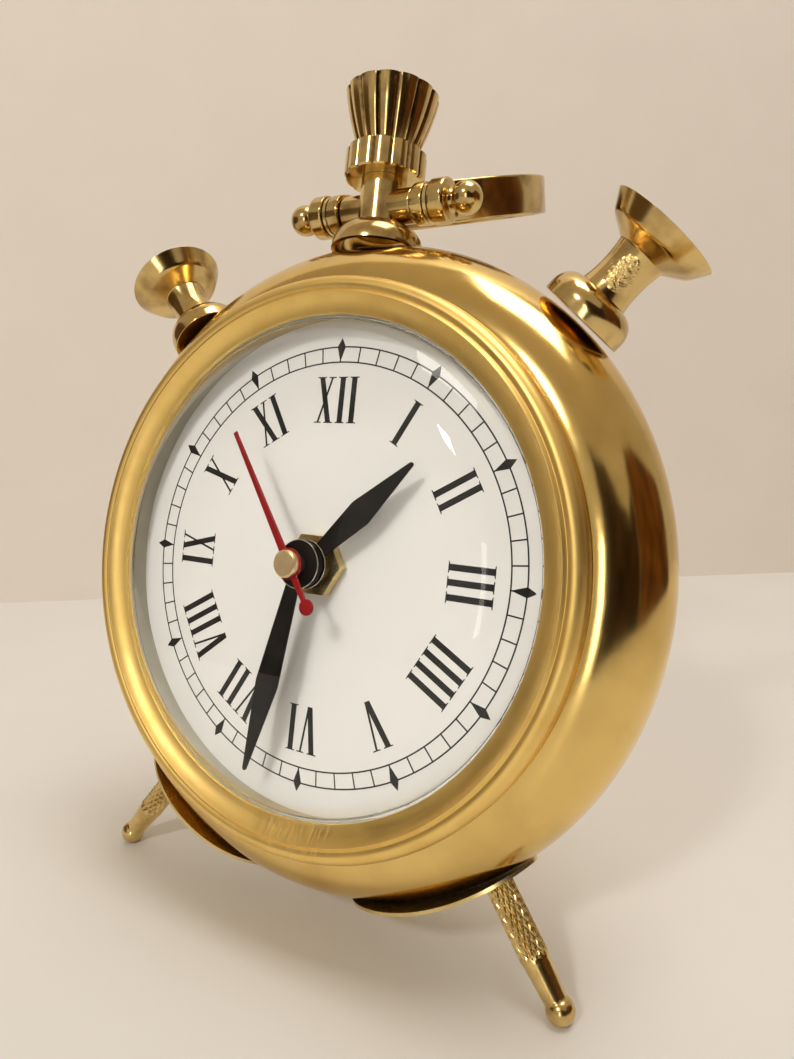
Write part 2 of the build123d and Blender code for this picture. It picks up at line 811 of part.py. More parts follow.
with BuildPart() as movement_back:
    with BuildSketch(facing(inner_back_y + slip)):
        RectangleRounded(movement_width, movement_height, movement_corner)
        with Locations((0, battery_height)):
            Rectangle(inside_width - 2 * movement_wall, battery_bay, mode=Mode.SUBTRACT)
        with Locations((0, 0), third_centre, intermediate_centre, rotor_centre, setter_centre):
            Circle(arbor_radius + run, mode=Mode.SUBTRACT)
    extrude(amount=-movement_wall)
keep(movement_back, "movement_back")

# Threaded stem through the dial, with gasket, washer and nut
with BuildPart() as movement_stem:
    disc_at(-stem_front, stem_front + inner_front_y, thread_radius)
    disc_at(-stem_front, stem_front + inner_front_y, stem_bore_radius, mode=Mode.SUBTRACT)
keep(movement_stem, "movement_stem")

with BuildPart() as movement_gasket:
    disc_at(dial_thickness, gasket_thickness, gasket_radius)
    disc_at(dial_thickness, gasket_thickness, thread_radius + slip, mode=Mode.SUBTRACT)
keep(movement_gasket, "movement_gasket")

with BuildPart() as stem_washer:
    disc_at(-stem_washer_thickness, stem_washer_thickness, stem_washer_radius)
    disc_at(-stem_washer_thickness, stem_washer_thickness, thread_radius + slip, mode=Mode.SUBTRACT)
keep(stem_washer, "stem_washer")

nut_front_y = -stem_washer_thickness - hex_nut_height
with BuildPart() as hex_nut:
    with BuildSketch(facing(nut_front_y)):
        RegularPolygon(hex_nut_flats / 2, 6, major_radius=False)
        Circle(thread_radius + press, mode=Mode.SUBTRACT)
    extrude(amount=-hex_nut_height)
keep(hex_nut, "hex_nut")

# Hands


def lance(length, belly, hub_radius, bore_radius, angle_deg):
    """Draw a lance-shaped hand with a round hub, pointing at a clockwise angle from XII."""
    with Locations(Location((0, 0, 0), (0, 0, -angle_deg))):
        Polygon(
            (hand_neck_half_width, 0),
            (hand_half_width, belly),
            (hand_tip_half_width, length),
            (-hand_tip_half_width, length),
            (-hand_half_width, belly),
            (-hand_neck_half_width, 0),
            align=None,
        )
    Circle(hub_radius)
    Circle(bore_radius, mode=Mode.SUBTRACT)


with BuildPart() as hour_hand:
    with BuildSketch(facing(-hour_hand_front)):
        lance(hour_length, hour_belly, hour_hub_radius, hour_tube_radius + press, hour_angle_deg)
    extrude(amount=-hand_thickness)
keep(hour_hand, "hour_hand")

with BuildPart() as minute_hand:
    with BuildSketch(facing(-minute_hand_front)):
        lance(minute_length, minute_belly, minute_hub_radius, minute_tube_radius + press, minute_angle_deg)
    extrude(amount=-hand_thickness)
keep(minute_hand, "minute_hand")

with BuildPart() as second_hand:
    with BuildSketch(facing(-second_hand_front)):
        with Locations(Location((0, 0, 0), (0, 0, -second_angle_deg))):
            Polygon(
                (second_end_half_width, -second_tail),
                (second_half_width, 0),
                (second_end_half_width, second_length),
                (-second_end_half_width, second_length),
                (-second_half_width, 0),
                (-second_end_half_width, -second_tail),
                align=None,
            )
            with Locations((0, -second_tail)):
                Circle(paddle_radius)
        Circle(second_hub_radius)
        Circle(second_arbor_radius + press, mode=Mode.SUBTRACT)
    extrude(amount=-hand_thickness)
keep(second_hand, "second_hand")

cap_back_y = -second_hand_front - slip
cap_front_y = cap_back_y - cap_height
with BuildPart() as second_cap:
    with BuildSketch(AXIAL):
        with BuildLine():
            Polyline(
                (0, cap_back_y),
                (cap_radius, cap_back_y),
                (cap_radius, cap_front_y + cap_bevel),
                (cap_radius - cap_bevel, cap_front_y),
                (0, cap_front_y),
                close=True,
            )
        make_face()
    revolve(axis=Axis.Y)
keep(second_cap, "second_cap")

# Gear train: each wheel turns on its own arbor or tube
centre = (0, 0)
hour_tube_front = -hour_hand_front
minute_tube_front = -minute_hand_front
with BuildPart() as hour_wheel:
    gear_at(hour_layer, wheel_thickness, hour_wheel_teeth, motion_module, centre,
            gap_phase(motion_direction_deg, hour_wheel_teeth))
    disc_at(hour_tube_front, hour_layer - hour_tube_front, hour_tube_radius)
    disc_at(hour_tube_front, inner_back_y - hour_tube_front, minute_tube_radius + run, mode=Mode.SUBTRACT)
keep(hour_wheel, "hour_wheel")

with BuildPart() as minute_wheel:
    gear_at(minute_layer, wheel_thickness, minute_wheel_teeth, slow_module, centre,
            gap_phase(third_direction_deg, minute_wheel_teeth))
    gear_at(motion_layer, minute_layer - motion_layer, cannon_teeth, motion_module, centre, motion_direction_deg)
    disc_at(minute_tube_front, motion_layer - minute_tube_front, minute_tube_radius)
    disc_at(minute_tube_front, inner_back_y - minute_tube_front, second_arbor_radius + run, mode=Mode.SUBTRACT)
keep(minute_wheel, "minute_wheel")

with BuildPart() as second_wheel:
    gear_at(second_layer, wheel_thickness, second_wheel_teeth, fast_module, centre,
            gap_phase(intermediate_direction_deg, second_wheel_teeth))
    pinion_y = minute_layer + wheel_thickness + side_play
    gear_at(pinion_y, second_layer - pinion_y, pinion_teeth, third_module, centre, third_direction_deg)
    disc_at(-second_hand_front, second_hand_front + pinion_y, second_arbor_radius)
    disc_at(second_layer, inner_back_y + movement_wall - second_layer, arbor_radius)
keep(second_wheel, "second_wheel")


def arbor(centre):
    """Add an arbor that runs from the tray's floor into the lid."""
    start = movement_y + movement_wall / 2 + slip
    disc_at(start, inner_back_y + movement_wall - start, arbor_radius, centre)


with BuildPart() as third_wheel:
    gear_at(third_layer, wheel_thickness, third_wheel_teeth, third_module, third_centre,
            gap_phase(third_direction_deg + 180, third_wheel_teeth))
    pinion_y = motion_layer + wheel_thickness + side_play
    gear_at(pinion_y, third_layer - pinion_y, pinion_teeth, slow_module, third_centre, third_direction_deg + 180)
    arbor(third_centre)
keep(third_wheel, "third_wheel")

with BuildPart() as intermediate_wheel:
    gear_at(intermediate_layer, wheel_thickness, rotor_wheel_teeth, rotor_module, intermediate_centre,
            gap_phase(rotor_direction_deg, rotor_wheel_teeth))
    pinion_y = third_layer + wheel_thickness + side_play
    gear_at(pinion_y, intermediate_layer - pinion_y, pinion_teeth, fast_module, intermediate_centre,
            intermediate_direction_deg + 180)
    arbor(intermediate_centre)
keep(intermediate_wheel, "intermediate_wheel")

with BuildPart() as rotor:
    pinion_y = second_layer + wheel_thickness + side_play
    gear_at(pinion_y, inner_back_y - side_play - pinion_y, pinion_teeth, rotor_module, rotor_centre,
            rotor_direction_deg + 180)
    disc_at(minute_layer, magnet_length, magnet_radius, rotor_centre)
    arbor(rotor_centre)
keep(rotor, "rotor")

with BuildPart() as motion_wheel:
    gear_at(motion_layer, wheel_thickness, motion_wheel_teeth, motion_module, motion_centre,
            gap_phase(motion_direction_deg + 180, motion_wheel_teeth))
    gear_at(hour_layer - side_play, motion_layer - hour_layer + side_play, pinion_teeth, motion_module,
            motion_centre, motion_direction_deg + 180)
    disc_at(inner_front_y, inner_back_y - inner_front_y, post_radius + run, motion_centre, Mode.SUBTRACT)
keep(motion_wheel, "motion_wheel")

with BuildPart() as setting_knob:
    gear_at(motion_layer - side_play, wheel_thickness + 2 * side_play, cannon_teeth, motion_module,
            setter_centre, motion_direction_deg + 180)
    arbor(setter_centre)
    disc_at(movement_back_y, knob_y + knob_height - movement_back_y, arbor_radius, setter_centre)
    with BuildSketch(facing(knob_y)):
        with Locations(setter_centre):
            RegularPolygon(knob_radius, 18)
    extrude(amount=-knob_height)
keep(setting_knob, "setting_knob")

# Motor: a stator plate with the rotor's bore, and a coil on its core
coil_reach = inside_width / 2 - movement_corner
with BuildPart() as stator:
    with BuildSketch(facing(stator_y)):
        with Locations((rotor_centre[0] + magnet_radius + 2 * stator_gap, rotor_centre[1])):
            Rectangle(coil_reach + rotor_centre[0], stator_width, align=(Align.MAX, Align.CENTER))
        with Locations(rotor_centre):
            Circle(magnet_radius + stator_gap, mode=Mode.SUBTRACT)
    extrude(amount=-stator_thickness)
keep(stator, "stator")

coil_centre = (-coil_reach + stator_gap, rotor_centre[1])
with BuildPart() as coil:
    with BuildSketch(Plane(origin=(coil_centre[0], coil_y + coil_radius, coil_centre[1]), z_dir=(1, 0, 0))):
        Circle(coil_radius)
    extrude(amount=coil_length)
keep(coil, "coil")

# Circuit board, battery and its contacts
board_corner = (inside_width / 2 - board_margin, inside_height / 2 - board_margin)
with BuildPart() as circuit_board:
    with BuildSketch(facing(inner_front_y)):
        with Locations(board_corner):
            Rectangle(board_width, board_height, align=(Align.MAX, Align.MAX))
    extrude(amount=-board_thickness)
keep(circuit_board, "circuit_board")

battery_start = -(battery_length + battery_nub_length) / 2
with BuildPart() as battery:
    with BuildSketch(Plane(origin=(battery_start, battery_y, battery_height), z_dir=(1, 0, 0))):
        Circle(battery_radius)
    extrude(amount=battery_length)
    with BuildSketch(Plane(origin=(battery_start + battery_length, battery_y, battery_height), z_dir=(1, 0, 0))):
        Circle(battery_nub_radius)
    extrude(amount=battery_nub_length)
keep(battery, "battery")

with BuildPart() as battery_contacts:
    for side_x in (battery_start - slip - contact_thickness, -battery_start + slip):
        with BuildSketch(Plane(origin=(side_x, battery_y, battery_height), x_dir=(0, 1, 0), z_dir=(1, 0, 0))):
            Rectangle(contact_width, contact_width)
        extrude(amount=contact_thickness)
keep(battery_contacts, "battery_contacts")

# Lean the clock back, stand it on the table and write each piece
leaning = Location((0, 0, 0), (-lean_deg, 0, 0))
for piece in pieces:
    piece.part.move(leaning)
whole = Compound(children=[piece.part.moved(Location()) for piece in pieces]).bounding_box()
standing = Location((-whole.center().X, -whole.center().Y, stand_height))
os.makedirs("parts", exist_ok=True)
for piece in pieces:
    piece.part.move(standing)
    export_step(piece.part, f"parts/{piece.part.label}.step")
print(f"{len(pieces)} pieces, dial centre {-whole.center().X:.3f} {-whole.center().Y:.3f} {stand_height:.3f}")
print(f"rear foot {rear_foot_deg:.2f} degrees below the case's axis, pin at {pin_z:.2f}, depth {mid_y:.2f}")
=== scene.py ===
"""Visual model of a brass table clock: turned brass case, printed dial, hands and movement."""

import json
import logging
import math
from collections.abc import Callable, Sequence
from dataclasses import dataclass, field
from enum import Enum

import bmesh
import bpy
from mathutils import Matrix, Vector


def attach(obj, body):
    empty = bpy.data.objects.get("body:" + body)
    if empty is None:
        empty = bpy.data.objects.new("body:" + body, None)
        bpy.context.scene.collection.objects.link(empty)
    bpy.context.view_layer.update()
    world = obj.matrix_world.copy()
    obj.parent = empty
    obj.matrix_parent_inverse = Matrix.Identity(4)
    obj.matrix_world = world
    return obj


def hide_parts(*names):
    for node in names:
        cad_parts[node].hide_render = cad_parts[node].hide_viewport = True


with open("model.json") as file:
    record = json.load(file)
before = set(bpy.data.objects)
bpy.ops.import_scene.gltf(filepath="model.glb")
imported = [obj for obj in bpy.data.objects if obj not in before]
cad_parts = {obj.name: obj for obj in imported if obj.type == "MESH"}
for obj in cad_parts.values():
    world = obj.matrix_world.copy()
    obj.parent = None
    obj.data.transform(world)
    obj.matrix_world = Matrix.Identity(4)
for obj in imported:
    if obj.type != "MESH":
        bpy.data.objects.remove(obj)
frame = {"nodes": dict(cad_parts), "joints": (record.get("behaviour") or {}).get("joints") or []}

Point = tuple[float, float]
Corner = tuple[float, float, float]
Colour = tuple[float, float, float]
Place = tuple[float, float, float]

LOG = logging.getLogger("clock")
MILLIMETRE = 0.001


class Body(Enum):
    """Bodies of the frame that the pieces ride."""

    CLOCK = "clock"
    BOW = "bow"
    LID = "back_lid"
    SECONDS = "seconds"
    MINUTES = "minutes"
    HOURS = "hours"


@dataclass(frozen=True)
class ClockAxes:
    """The clock's own axes in the frame: X right of the dial, Y to the back, Z up, in millimetres.

    Attributes:
        dial_centre: Front centre of the dial, in the frame's metres.
        lean: Angle by which the clock leans back, in radians.
    """

    dial_centre: Vector
    lean: float

    @classmethod
    def from_joints(cls, joints: Sequence[dict]) -> "ClockAxes":
        """Find the axes from the joint of the second hand.

        Args:
            joints: The joints of the frame.

        Returns:
            The axes, with the dial's front centre as their origin.
        """
        turn = next(joint for joint in joints if joint["name"] == "second_hand_turn")
        axis = Vector(turn["axis"]).normalized()
        pivot = Vector(turn["pos_m"])
        return cls(pivot - axis * 10 * MILLIMETRE, math.atan2(-axis.z, axis.y))

    def matrix(self) -> Matrix:
        """Return the transform from clock millimetres to the frame."""
        turned = Matrix.Translation(self.dial_centre) @ Matrix.Rotation(-self.lean, 4, "X")
        return turned @ Matrix.Scale(MILLIMETRE, 4)


AXES = ClockAxes.from_joints(frame["joints"])
MAIN_AXIS = Matrix.Rotation(math.radians(-90), 4, "X")
DIAL_FACE = Matrix.Rotation(math.radians(90), 4, "X")
BARREL_MID = 10.0


def spoke(angle_deg: float, along: float = 0.0) -> Matrix:
    """Place a turned piece on a spoke of the barrel.

    Args:
        angle_deg: Angle of the spoke, clockwise from the top.
        along: Distance of the piece's origin from the clock's axis.

    Returns:
        The transform from the piece's own millimetres to clock millimetres.
    """
    angle = math.radians(angle_deg)
    outward = Vector((math.sin(angle), 0, math.cos(angle)))
    place = Matrix.Translation(Vector((0, BARREL_MID, 0)) + outward * along)
    return place @ outward.to_track_quat("Z", "Y").to_matrix().to_4x4()


class NodeSheet:
    """Short calls that add nodes to a node tree and join them."""

    def __init__(self, tree: bpy.types.NodeTree) -> None:
        """Take the tree that the nodes go into."""
        self.tree = tree

    def feed(self, socket: bpy.types.NodeSocket, value: object) -> None:
        """Link a socket, or set its value when a plain value is given.

        Args:
            socket: Input that is fed.
            value: Socket or plain value for it.
        """
        if isinstance(value, bpy.types.NodeSocket):
            self.tree.links.new(value, socket)
        else:
            socket.default_value = value

    def add(self, kind: str, inputs: dict | None = None, **settings: object) -> bpy.types.Node:
        """Add a node.

        Args:
            kind: Type name of the node.
            inputs: Values or sockets for its inputs, by name or number.
            settings: Properties of the node.

        Returns:
            The new node.
        """
        node = self.tree.nodes.new(kind)
        for name, value in settings.items():
            setattr(node, name, value)
        for key, value in (inputs or {}).items():
            self.feed(node.inputs[key], value)
        return node

    def math(self, operation: str, first: object, second: object = 0.0) -> bpy.types.NodeSocket:
        """Add a math node and return its result."""
        return self.add("ShaderNodeMath", {0: first, 1: second}, operation=operation).outputs[0]

    def span(
        self, value: object, low: object, high: object, to_low: float = 0.0, to_high: float = 1.0
    ) -> bpy.types.NodeSocket:
        """Map a value from one range to another, clamped.

        Args:
            value: Socket or number to map.
            low: Start of the first range.
            high: End of the first range.
            to_low: Result at the start.
            to_high: Result at the end.

        Returns:
            The mapped value.
        """
        inputs = {"Value": value, "From Min": low, "From Max": high, "To Min": to_low, "To Max": to_high}
        return self.add("ShaderNodeMapRange", inputs).outputs["Result"]

    def blend(self, factor: object, first: Colour, second: Colour) -> bpy.types.NodeSocket:
        """Mix two colours.

        Args:
            factor: Share of the second colour.
            first: First colour, or a socket with it.
            second: Second colour, or a socket with it.

        Returns:
            The mixed colour.
        """
        node = self.add("ShaderNodeMix", data_type="RGBA")
        self.feed(node.inputs[0], factor)
        for socket, colour in ((node.inputs[6], first), (node.inputs[7], second)):
            self.feed(socket, colour if isinstance(colour, bpy.types.NodeSocket) else (*colour, 1.0))
        return node.outputs[2]

    def clock_point(self) -> bpy.types.NodeSocket:
        """Map the shaded point to the clock's axes.

        Returns:
            The point in clock millimetres.
        """
        place = self.add("ShaderNodeTexCoord").outputs["Object"]
        mapping = self.add("ShaderNodeMapping", {"Vector": place}, vector_type="TEXTURE")
        mapping.inputs["Location"].default_value = AXES.dial_centre
        mapping.inputs["Rotation"].default_value = (-AXES.lean, 0, 0)
        mapping.inputs["Scale"].default_value = (MILLIMETRE, MILLIMETRE, MILLIMETRE)
        return mapping.outputs["Vector"]

    def parts(self, vector: bpy.types.NodeSocket) -> tuple[bpy.types.NodeSocket, ...]:
        """Split a vector into its three parts."""
        return tuple(self.add("ShaderNodeSeparateXYZ", {0: vector}).outputs)

    def noise(self, vector: bpy.types.NodeSocket, scale: float, detail: float = 3.0) -> bpy.types.NodeSocket:
        """Add a noise texture and return its value."""
        inputs = {"Vector": vector, "Scale": scale, "Detail": detail}
        return self.add("ShaderNodeTexNoise", inputs).outputs["Fac"]

    def bump(
        self,
        height: bpy.types.NodeSocket,
        strength: float,
        distance: float,
        normal: bpy.types.NodeSocket | None = None,
    ) -> bpy.types.NodeSocket:
        """Turn a height into a normal.

        Args:
            height: The height.
            strength: Strength of the effect.
            distance: Height in metres that a height of one stands for.
            normal: Normal that the result is laid over.

        Returns:
            The new normal.
        """
        inputs = {"Strength": strength, "Distance": distance, "Height": height}
        if normal is not None:
            inputs["Normal"] = normal
        return self.add("ShaderNodeBump", inputs).outputs["Normal"]

    def length(self, first: object, second: object) -> bpy.types.NodeSocket:
        """Return the length of a vector from its two parts."""
        squares = self.math("MULTIPLY", first, first), self.math("MULTIPLY", second, second)
        return self.math("SQRT", self.math("ADD", *squares))

    def fold(self, value: object) -> bpy.types.NodeSocket:
        """Return how far a value lies from the middle between two whole numbers."""
        return self.math("ABSOLUTE", self.math("SUBTRACT", self.math("FRACT", value), 0.5))


@dataclass(frozen=True)
class Finish:
    """Base of the finishes: makes one material and keeps it under its name.

    Attributes:
        name: Name of the material.
    """

    name: str

    def material(self) -> bpy.types.Material:
        """Make the material on first use.

        Returns:
            The material.
        """
        found = bpy.data.materials.get(self.name)
        if found is None:
            found = bpy.data.materials.new(self.name)
            found.use_nodes = True
            sheet = NodeSheet(found.node_tree)
            self.fill(sheet, found.node_tree.nodes["Principled BSDF"])
        return found

    def fill(self, sheet: NodeSheet, surface: bpy.types.Node) -> None:
        """Add the finish's nodes; each kind of finish has its own."""
        raise NotImplementedError


class Grain(Enum):
    """Direction of the fine marks in a metal finish."""

    EVEN = "even"
    SPUN = "spun"


@dataclass(frozen=True)
class Brass(Finish):
    """Brass with faint stains, soft dents and fine marks.

    Attributes:
        bright: Colour of the clean metal.
        stained: Colour of the darker stains.
        roughness: Roughness of the clean metal.
        grain: Direction of the fine marks.
        mark_depth: Depth of the fine marks in metres.
        stain_size: Size of the stains in millimetres.
        stain_share: How much of the stains' colour shows in their middle.
        dent_depth: Depth of the soft dents in metres.
        worn_at: Middle of a worn patch in clock millimetres, if there is one.
        worn_reach: Radius of the worn patch in millimetres.
        worn_depth: Depth of its marks in metres.
        worn_grain: How close its marks lie along the clock's axes, per millimetre.
        groove_count: Number of dark grooves around the crown's axis, if there are any.
    """

    bright: Colour = (0.88, 0.67, 0.26)
    stained: Colour = (0.72, 0.48, 0.15)
    roughness: float = 0.11
    grain: Grain = Grain.EVEN
    mark_depth: float = 0.000005
    stain_size: float = 9.0
    stain_share: float = 0.6
    dent_depth: float = 0.00002
    worn_at: Place | None = None
    worn_reach: float = 3.0
    worn_depth: float = 0.0002
    worn_grain: Place = (1.6, 1.6, 1.6)
    groove_count: int = 0

    def fill(self, sheet: NodeSheet, surface: bpy.types.Node) -> None:
        """Lay stains, uneven polish, dents and fine marks on the metal.

        Args:
            sheet: Node sheet of the material.
            surface: Its shader.
        """
        point = sheet.clock_point()
        marks_at = point
        if self.grain is Grain.SPUN:
            across, depth, up = sheet.parts(point)
            radius = sheet.length(across, up)
            angle = sheet.math("ARCTAN2", across, up)
            marks_at = sheet.add("ShaderNodeCombineXYZ", {0: radius, 1: depth, 2: angle}).outputs[0]
        stains = sheet.noise(point, 1 / self.stain_size, 5.0)
        marks = sheet.noise(marks_at, 7.0, 3.0)
        dents = sheet.noise(point, 0.16, 1.0)
        stain = sheet.span(stains, 0.45, 0.75, 0.0, self.stain_share)
        if self.groove_count:
            # the darker colour of the crown's flute grooves joins the random stains here
            stain = sheet.math("MAXIMUM", stain, self.grooves(sheet, point))
        sheet.feed(surface.inputs["Base Color"], sheet.blend(stain, self.bright, self.stained))
        uneven = sheet.math("ADD", sheet.math("MULTIPLY", stains, 0.5), sheet.math("MULTIPLY", marks, 0.5))
        rough = sheet.span(uneven, 0.3, 0.7, self.roughness * 0.75, self.roughness * 1.3)
        sheet.feed(surface.inputs["Roughness"], rough)
        normal = sheet.bump(dents, 1.0, self.dent_depth)
        normal = sheet.bump(marks, 0.35, self.mark_depth, normal)
        if self.worn_at is not None:
            normal = self.wear(sheet, point, normal)
        sheet.feed(surface.inputs["Normal"], normal)
        surface.inputs["Metallic"].default_value = 1.0

    def wear(
        self, sheet: NodeSheet, point: bpy.types.NodeSocket, normal: bpy.types.NodeSocket
    ) -> bpy.types.NodeSocket:
        """Lay the marks of the worn patch over a normal.

        Args:
            sheet: Node sheet of the material.
            point: Shaded point in clock millimetres.
            normal: Normal that the marks are laid over.

        Returns:
            The new normal.
        """
        inputs = {0: point, 1: self.worn_at}
        away = sheet.add("ShaderNodeVectorMath", inputs, operation="DISTANCE").outputs["Value"]
        patch = sheet.span(away, self.worn_reach * 0.7, self.worn_reach, 1.0, 0.0)
        spread = {0: point, 1: self.worn_grain}
        marks_at = sheet.add("ShaderNodeVectorMath", spread, operation="MULTIPLY").outputs["Vector"]
        height = sheet.math("MULTIPLY", sheet.noise(marks_at, 1.0, 3.0), patch)
        return sheet.bump(height, 1.0, self.worn_depth, normal)

    def grooves(self, sheet: NodeSheet, point: bpy.types.NodeSocket) -> bpy.types.NodeSocket:
        """Darken the grooves around the crown's axis.

        Args:
            sheet: Node sheet of the material.
            point: Shaded point in clock millimetres.

        Returns:
            The share of darker colour along the flute grooves, which spares the collar's flat ends.
        """
        across, depth, up = sheet.parts(point)
        behind = sheet.math("SUBTRACT", depth, BARREL_MID)
        angle = sheet.math("ARCTAN2", behind, across)
        on_cup = sheet.span(up, 95.2, 95.6)
        on_collar = sheet.span(sheet.length(across, behind), 8.3, 8.7)
        outside = sheet.math("MAXIMUM", on_cup, on_collar)
        away = sheet.fold(sheet.math("MULTIPLY", angle, self.groove_count / (2 * math.pi)))
        ragged = sheet.math("MULTIPLY", sheet.noise(point, 0.7, 3.0), 0.25)
        # colours the flute grooves darker, up to nine tenths of the stained colour
        dark = sheet.span(sheet.math("ADD", away, ragged), 0.48, 0.62, 0.0, 0.9)
        return sheet.math("MULTIPLY", dark, outside)


@dataclass(frozen=True)
class Coated(Finish):
    """Paint, print or moulded plastic: a coloured surface with a faint unevenness.

    Attributes:
        colour: Main colour.
        shade: Colour of the uneven spots.
        roughness: Roughness of the surface.
        spot_size: Size of the spots in millimetres.
        grain_depth: Depth of the fine grain in metres.
        specular: Strength of the reflection.
    """

    colour: Colour = (0.8, 0.8, 0.8)
    shade: Colour = (0.7, 0.7, 0.7)
    roughness: float = 0.4
    spot_size: float = 6.0
    grain_depth: float = 0.00001
    specular: float = 0.5

    def fill(self, sheet: NodeSheet, surface: bpy.types.Node) -> None:
        """Lay soft spots of colour and a fine grain.

        Args:
            sheet: Node sheet of the material.
            surface: Its shader.
        """
        point = sheet.clock_point()
        spots = sheet.noise(point, 1 / self.spot_size, 4.0)
        grain = sheet.noise(point, 6.0, 2.0)
        colour = sheet.blend(sheet.span(spots, 0.35, 0.7), self.colour, self.shade)
        sheet.feed(surface.inputs["Base Color"], colour)
        rough = sheet.span(grain, 0.3, 0.7, self.roughness * 0.85, self.roughness * 1.15)
        sheet.feed(surface.inputs["Roughness"], rough)
        sheet.feed(surface.inputs["Normal"], sheet.bump(grain, 0.3, self.grain_depth))
        surface.inputs["Specular IOR Level"].default_value = self.specular


@dataclass(frozen=True)
class TubeMetal(Finish):
    """Hand tubes: dark metal in front of the dial, pale nylon wheel behind it.

    Attributes:
        metal: Colour of the metal.
        nylon: Colour of the nylon.
    """

    metal: Colour = (0.02, 0.019, 0.018)
    nylon: Colour = (0.78, 0.77, 0.72)

    def fill(self, sheet: NodeSheet, surface: bpy.types.Node) -> None:
        """Change the colour at the dial's plane.

        Args:
            sheet: Node sheet of the material.
            surface: Its shader.
        """
        point = sheet.clock_point()
        depth = sheet.parts(point)[1]
        behind = sheet.math("GREATER_THAN", depth, 0.4)
        spots = sheet.noise(point, 0.4)
        nylon = sheet.blend(spots, self.nylon, tuple(0.9 * part for part in self.nylon))
        colour = sheet.blend(behind, self.metal, nylon)
        sheet.feed(surface.inputs["Base Color"], colour)
        sheet.feed(surface.inputs["Roughness"], sheet.span(spots, 0.3, 0.7, 0.3, 0.42))


@dataclass(frozen=True)
class Banded(Finish):
    """Surface with bands across one of the clock's axes, such as a winding or a printed sleeve.

    Attributes:
        first: Colour between the bands.
        second: Colour of the bands.
        axis: Number of the clock axis across which the bands lie.
        pitch: Distance between bands in millimetres.
        share: Share of the pitch that a band covers.
        metallic: How metallic the surface is.
        roughness: Roughness of the surface.
        depth: Height of the bands in metres.
    """

    first: Colour = (0.72, 0.33, 0.16)
    second: Colour = (0.45, 0.17, 0.07)
    axis: int = 0
    pitch: float = 0.35
    share: float = 0.5
    metallic: float = 1.0
    roughness: float = 0.35
    depth: float = 0.00005

    def fill(self, sheet: NodeSheet, surface: bpy.types.Node) -> None:
        """Lay the bands and a faint unevenness.

        Args:
            sheet: Node sheet of the material.
            surface: Its shader.
        """
        point = sheet.clock_point()
        place = sheet.parts(point)[self.axis]
        wave = sheet.fold(sheet.math("DIVIDE", place, self.pitch))
        edge = 0.5 * self.share
        band = sheet.span(wave, edge - 0.06, edge + 0.06, 1.0, 0.0)
        spots = sheet.noise(point, 0.5)
        uneven = sheet.span(spots, 0.3, 0.7, 0.85, 1.0)
        sheet.feed(surface.inputs["Base Color"], sheet.blend(band, self.first, self.second))
        sheet.feed(surface.inputs["Roughness"], sheet.math("MULTIPLY", uneven, self.roughness))
        sheet.feed(surface.inputs["Normal"], sheet.bump(band, 0.4, self.depth))
        surface.inputs["Metallic"].default_value = self.metallic


@dataclass(frozen=True)
class Board(Finish):
    """Printed circuit board: green mask with paler tracks.

    Attributes:
        mask: Colour of the mask.
        track: Colour of the tracks under it.
    """

    mask: Colour = (0.02, 0.16, 0.07)
    track: Colour = (0.06, 0.30, 0.13)

    def fill(self, sheet: NodeSheet, surface: bpy.types.Node) -> None:
        """Lay straight tracks under the mask.

        Args:
            sheet: Node sheet of the material.
            surface: Its shader.
        """
        point = sheet.clock_point()
        across, _depth, up = sheet.parts(point)
        flat = sheet.add("ShaderNodeCombineXYZ", {0: across, 1: up}).outputs[0]
        brick = sheet.add("ShaderNodeTexBrick", {"Vector": flat, "Scale": 0.25, "Mortar Size": 0.045})
        tracks = brick.outputs["Fac"]
        sheet.feed(surface.inputs["Base Color"], sheet.blend(tracks, self.mask, self.track))
        sheet.feed(surface.inputs["Normal"], sheet.bump(tracks, 0.3, 0.00004))
        surface.inputs["Roughness"].default_value = 0.35


@dataclass(frozen=True)
class ClearGlass(Finish):
    """Clear glass with faint smears, which lets the light of the lamps through.

    Attributes:
        smear_size: Size of the smears in millimetres.
        index: Index of refraction.
        clean: Colour of the clean glass.
        smeared: Colour of the smears.
    """

    smear_size: float = 14.0
    index: float = 1.25
    clean: Colour = (0.99, 0.99, 0.985)
    smeared: Colour = (0.97, 0.975, 0.97)

    def fill(self, sheet: NodeSheet, surface: bpy.types.Node) -> None:
        """Lay smears on otherwise clear glass.

        Args:
            sheet: Node sheet of the material.
            surface: Its shader.
        """
        smears = sheet.noise(sheet.clock_point(), 1 / self.smear_size, 4.0)
        sheet.feed(surface.inputs["Base Color"], sheet.blend(smears, self.clean, self.smeared))
        sheet.feed(surface.inputs["Roughness"], sheet.span(smears, 0.55, 0.8, 0.0, 0.03))
        surface.inputs["Transmission Weight"].default_value = 1.0
        surface.inputs["IOR"].default_value = self.index
        shade = sheet.add("ShaderNodeLightPath").outputs["Is Shadow Ray"]
        clear = sheet.add("ShaderNodeBsdfTransparent").outputs[0]
        mixed = sheet.add("ShaderNodeMixShader", {0: shade, 1: surface.outputs[0], 2: clear})
        sheet.feed(sheet.tree.nodes["Material Output"].inputs["Surface"], mixed.outputs[0])


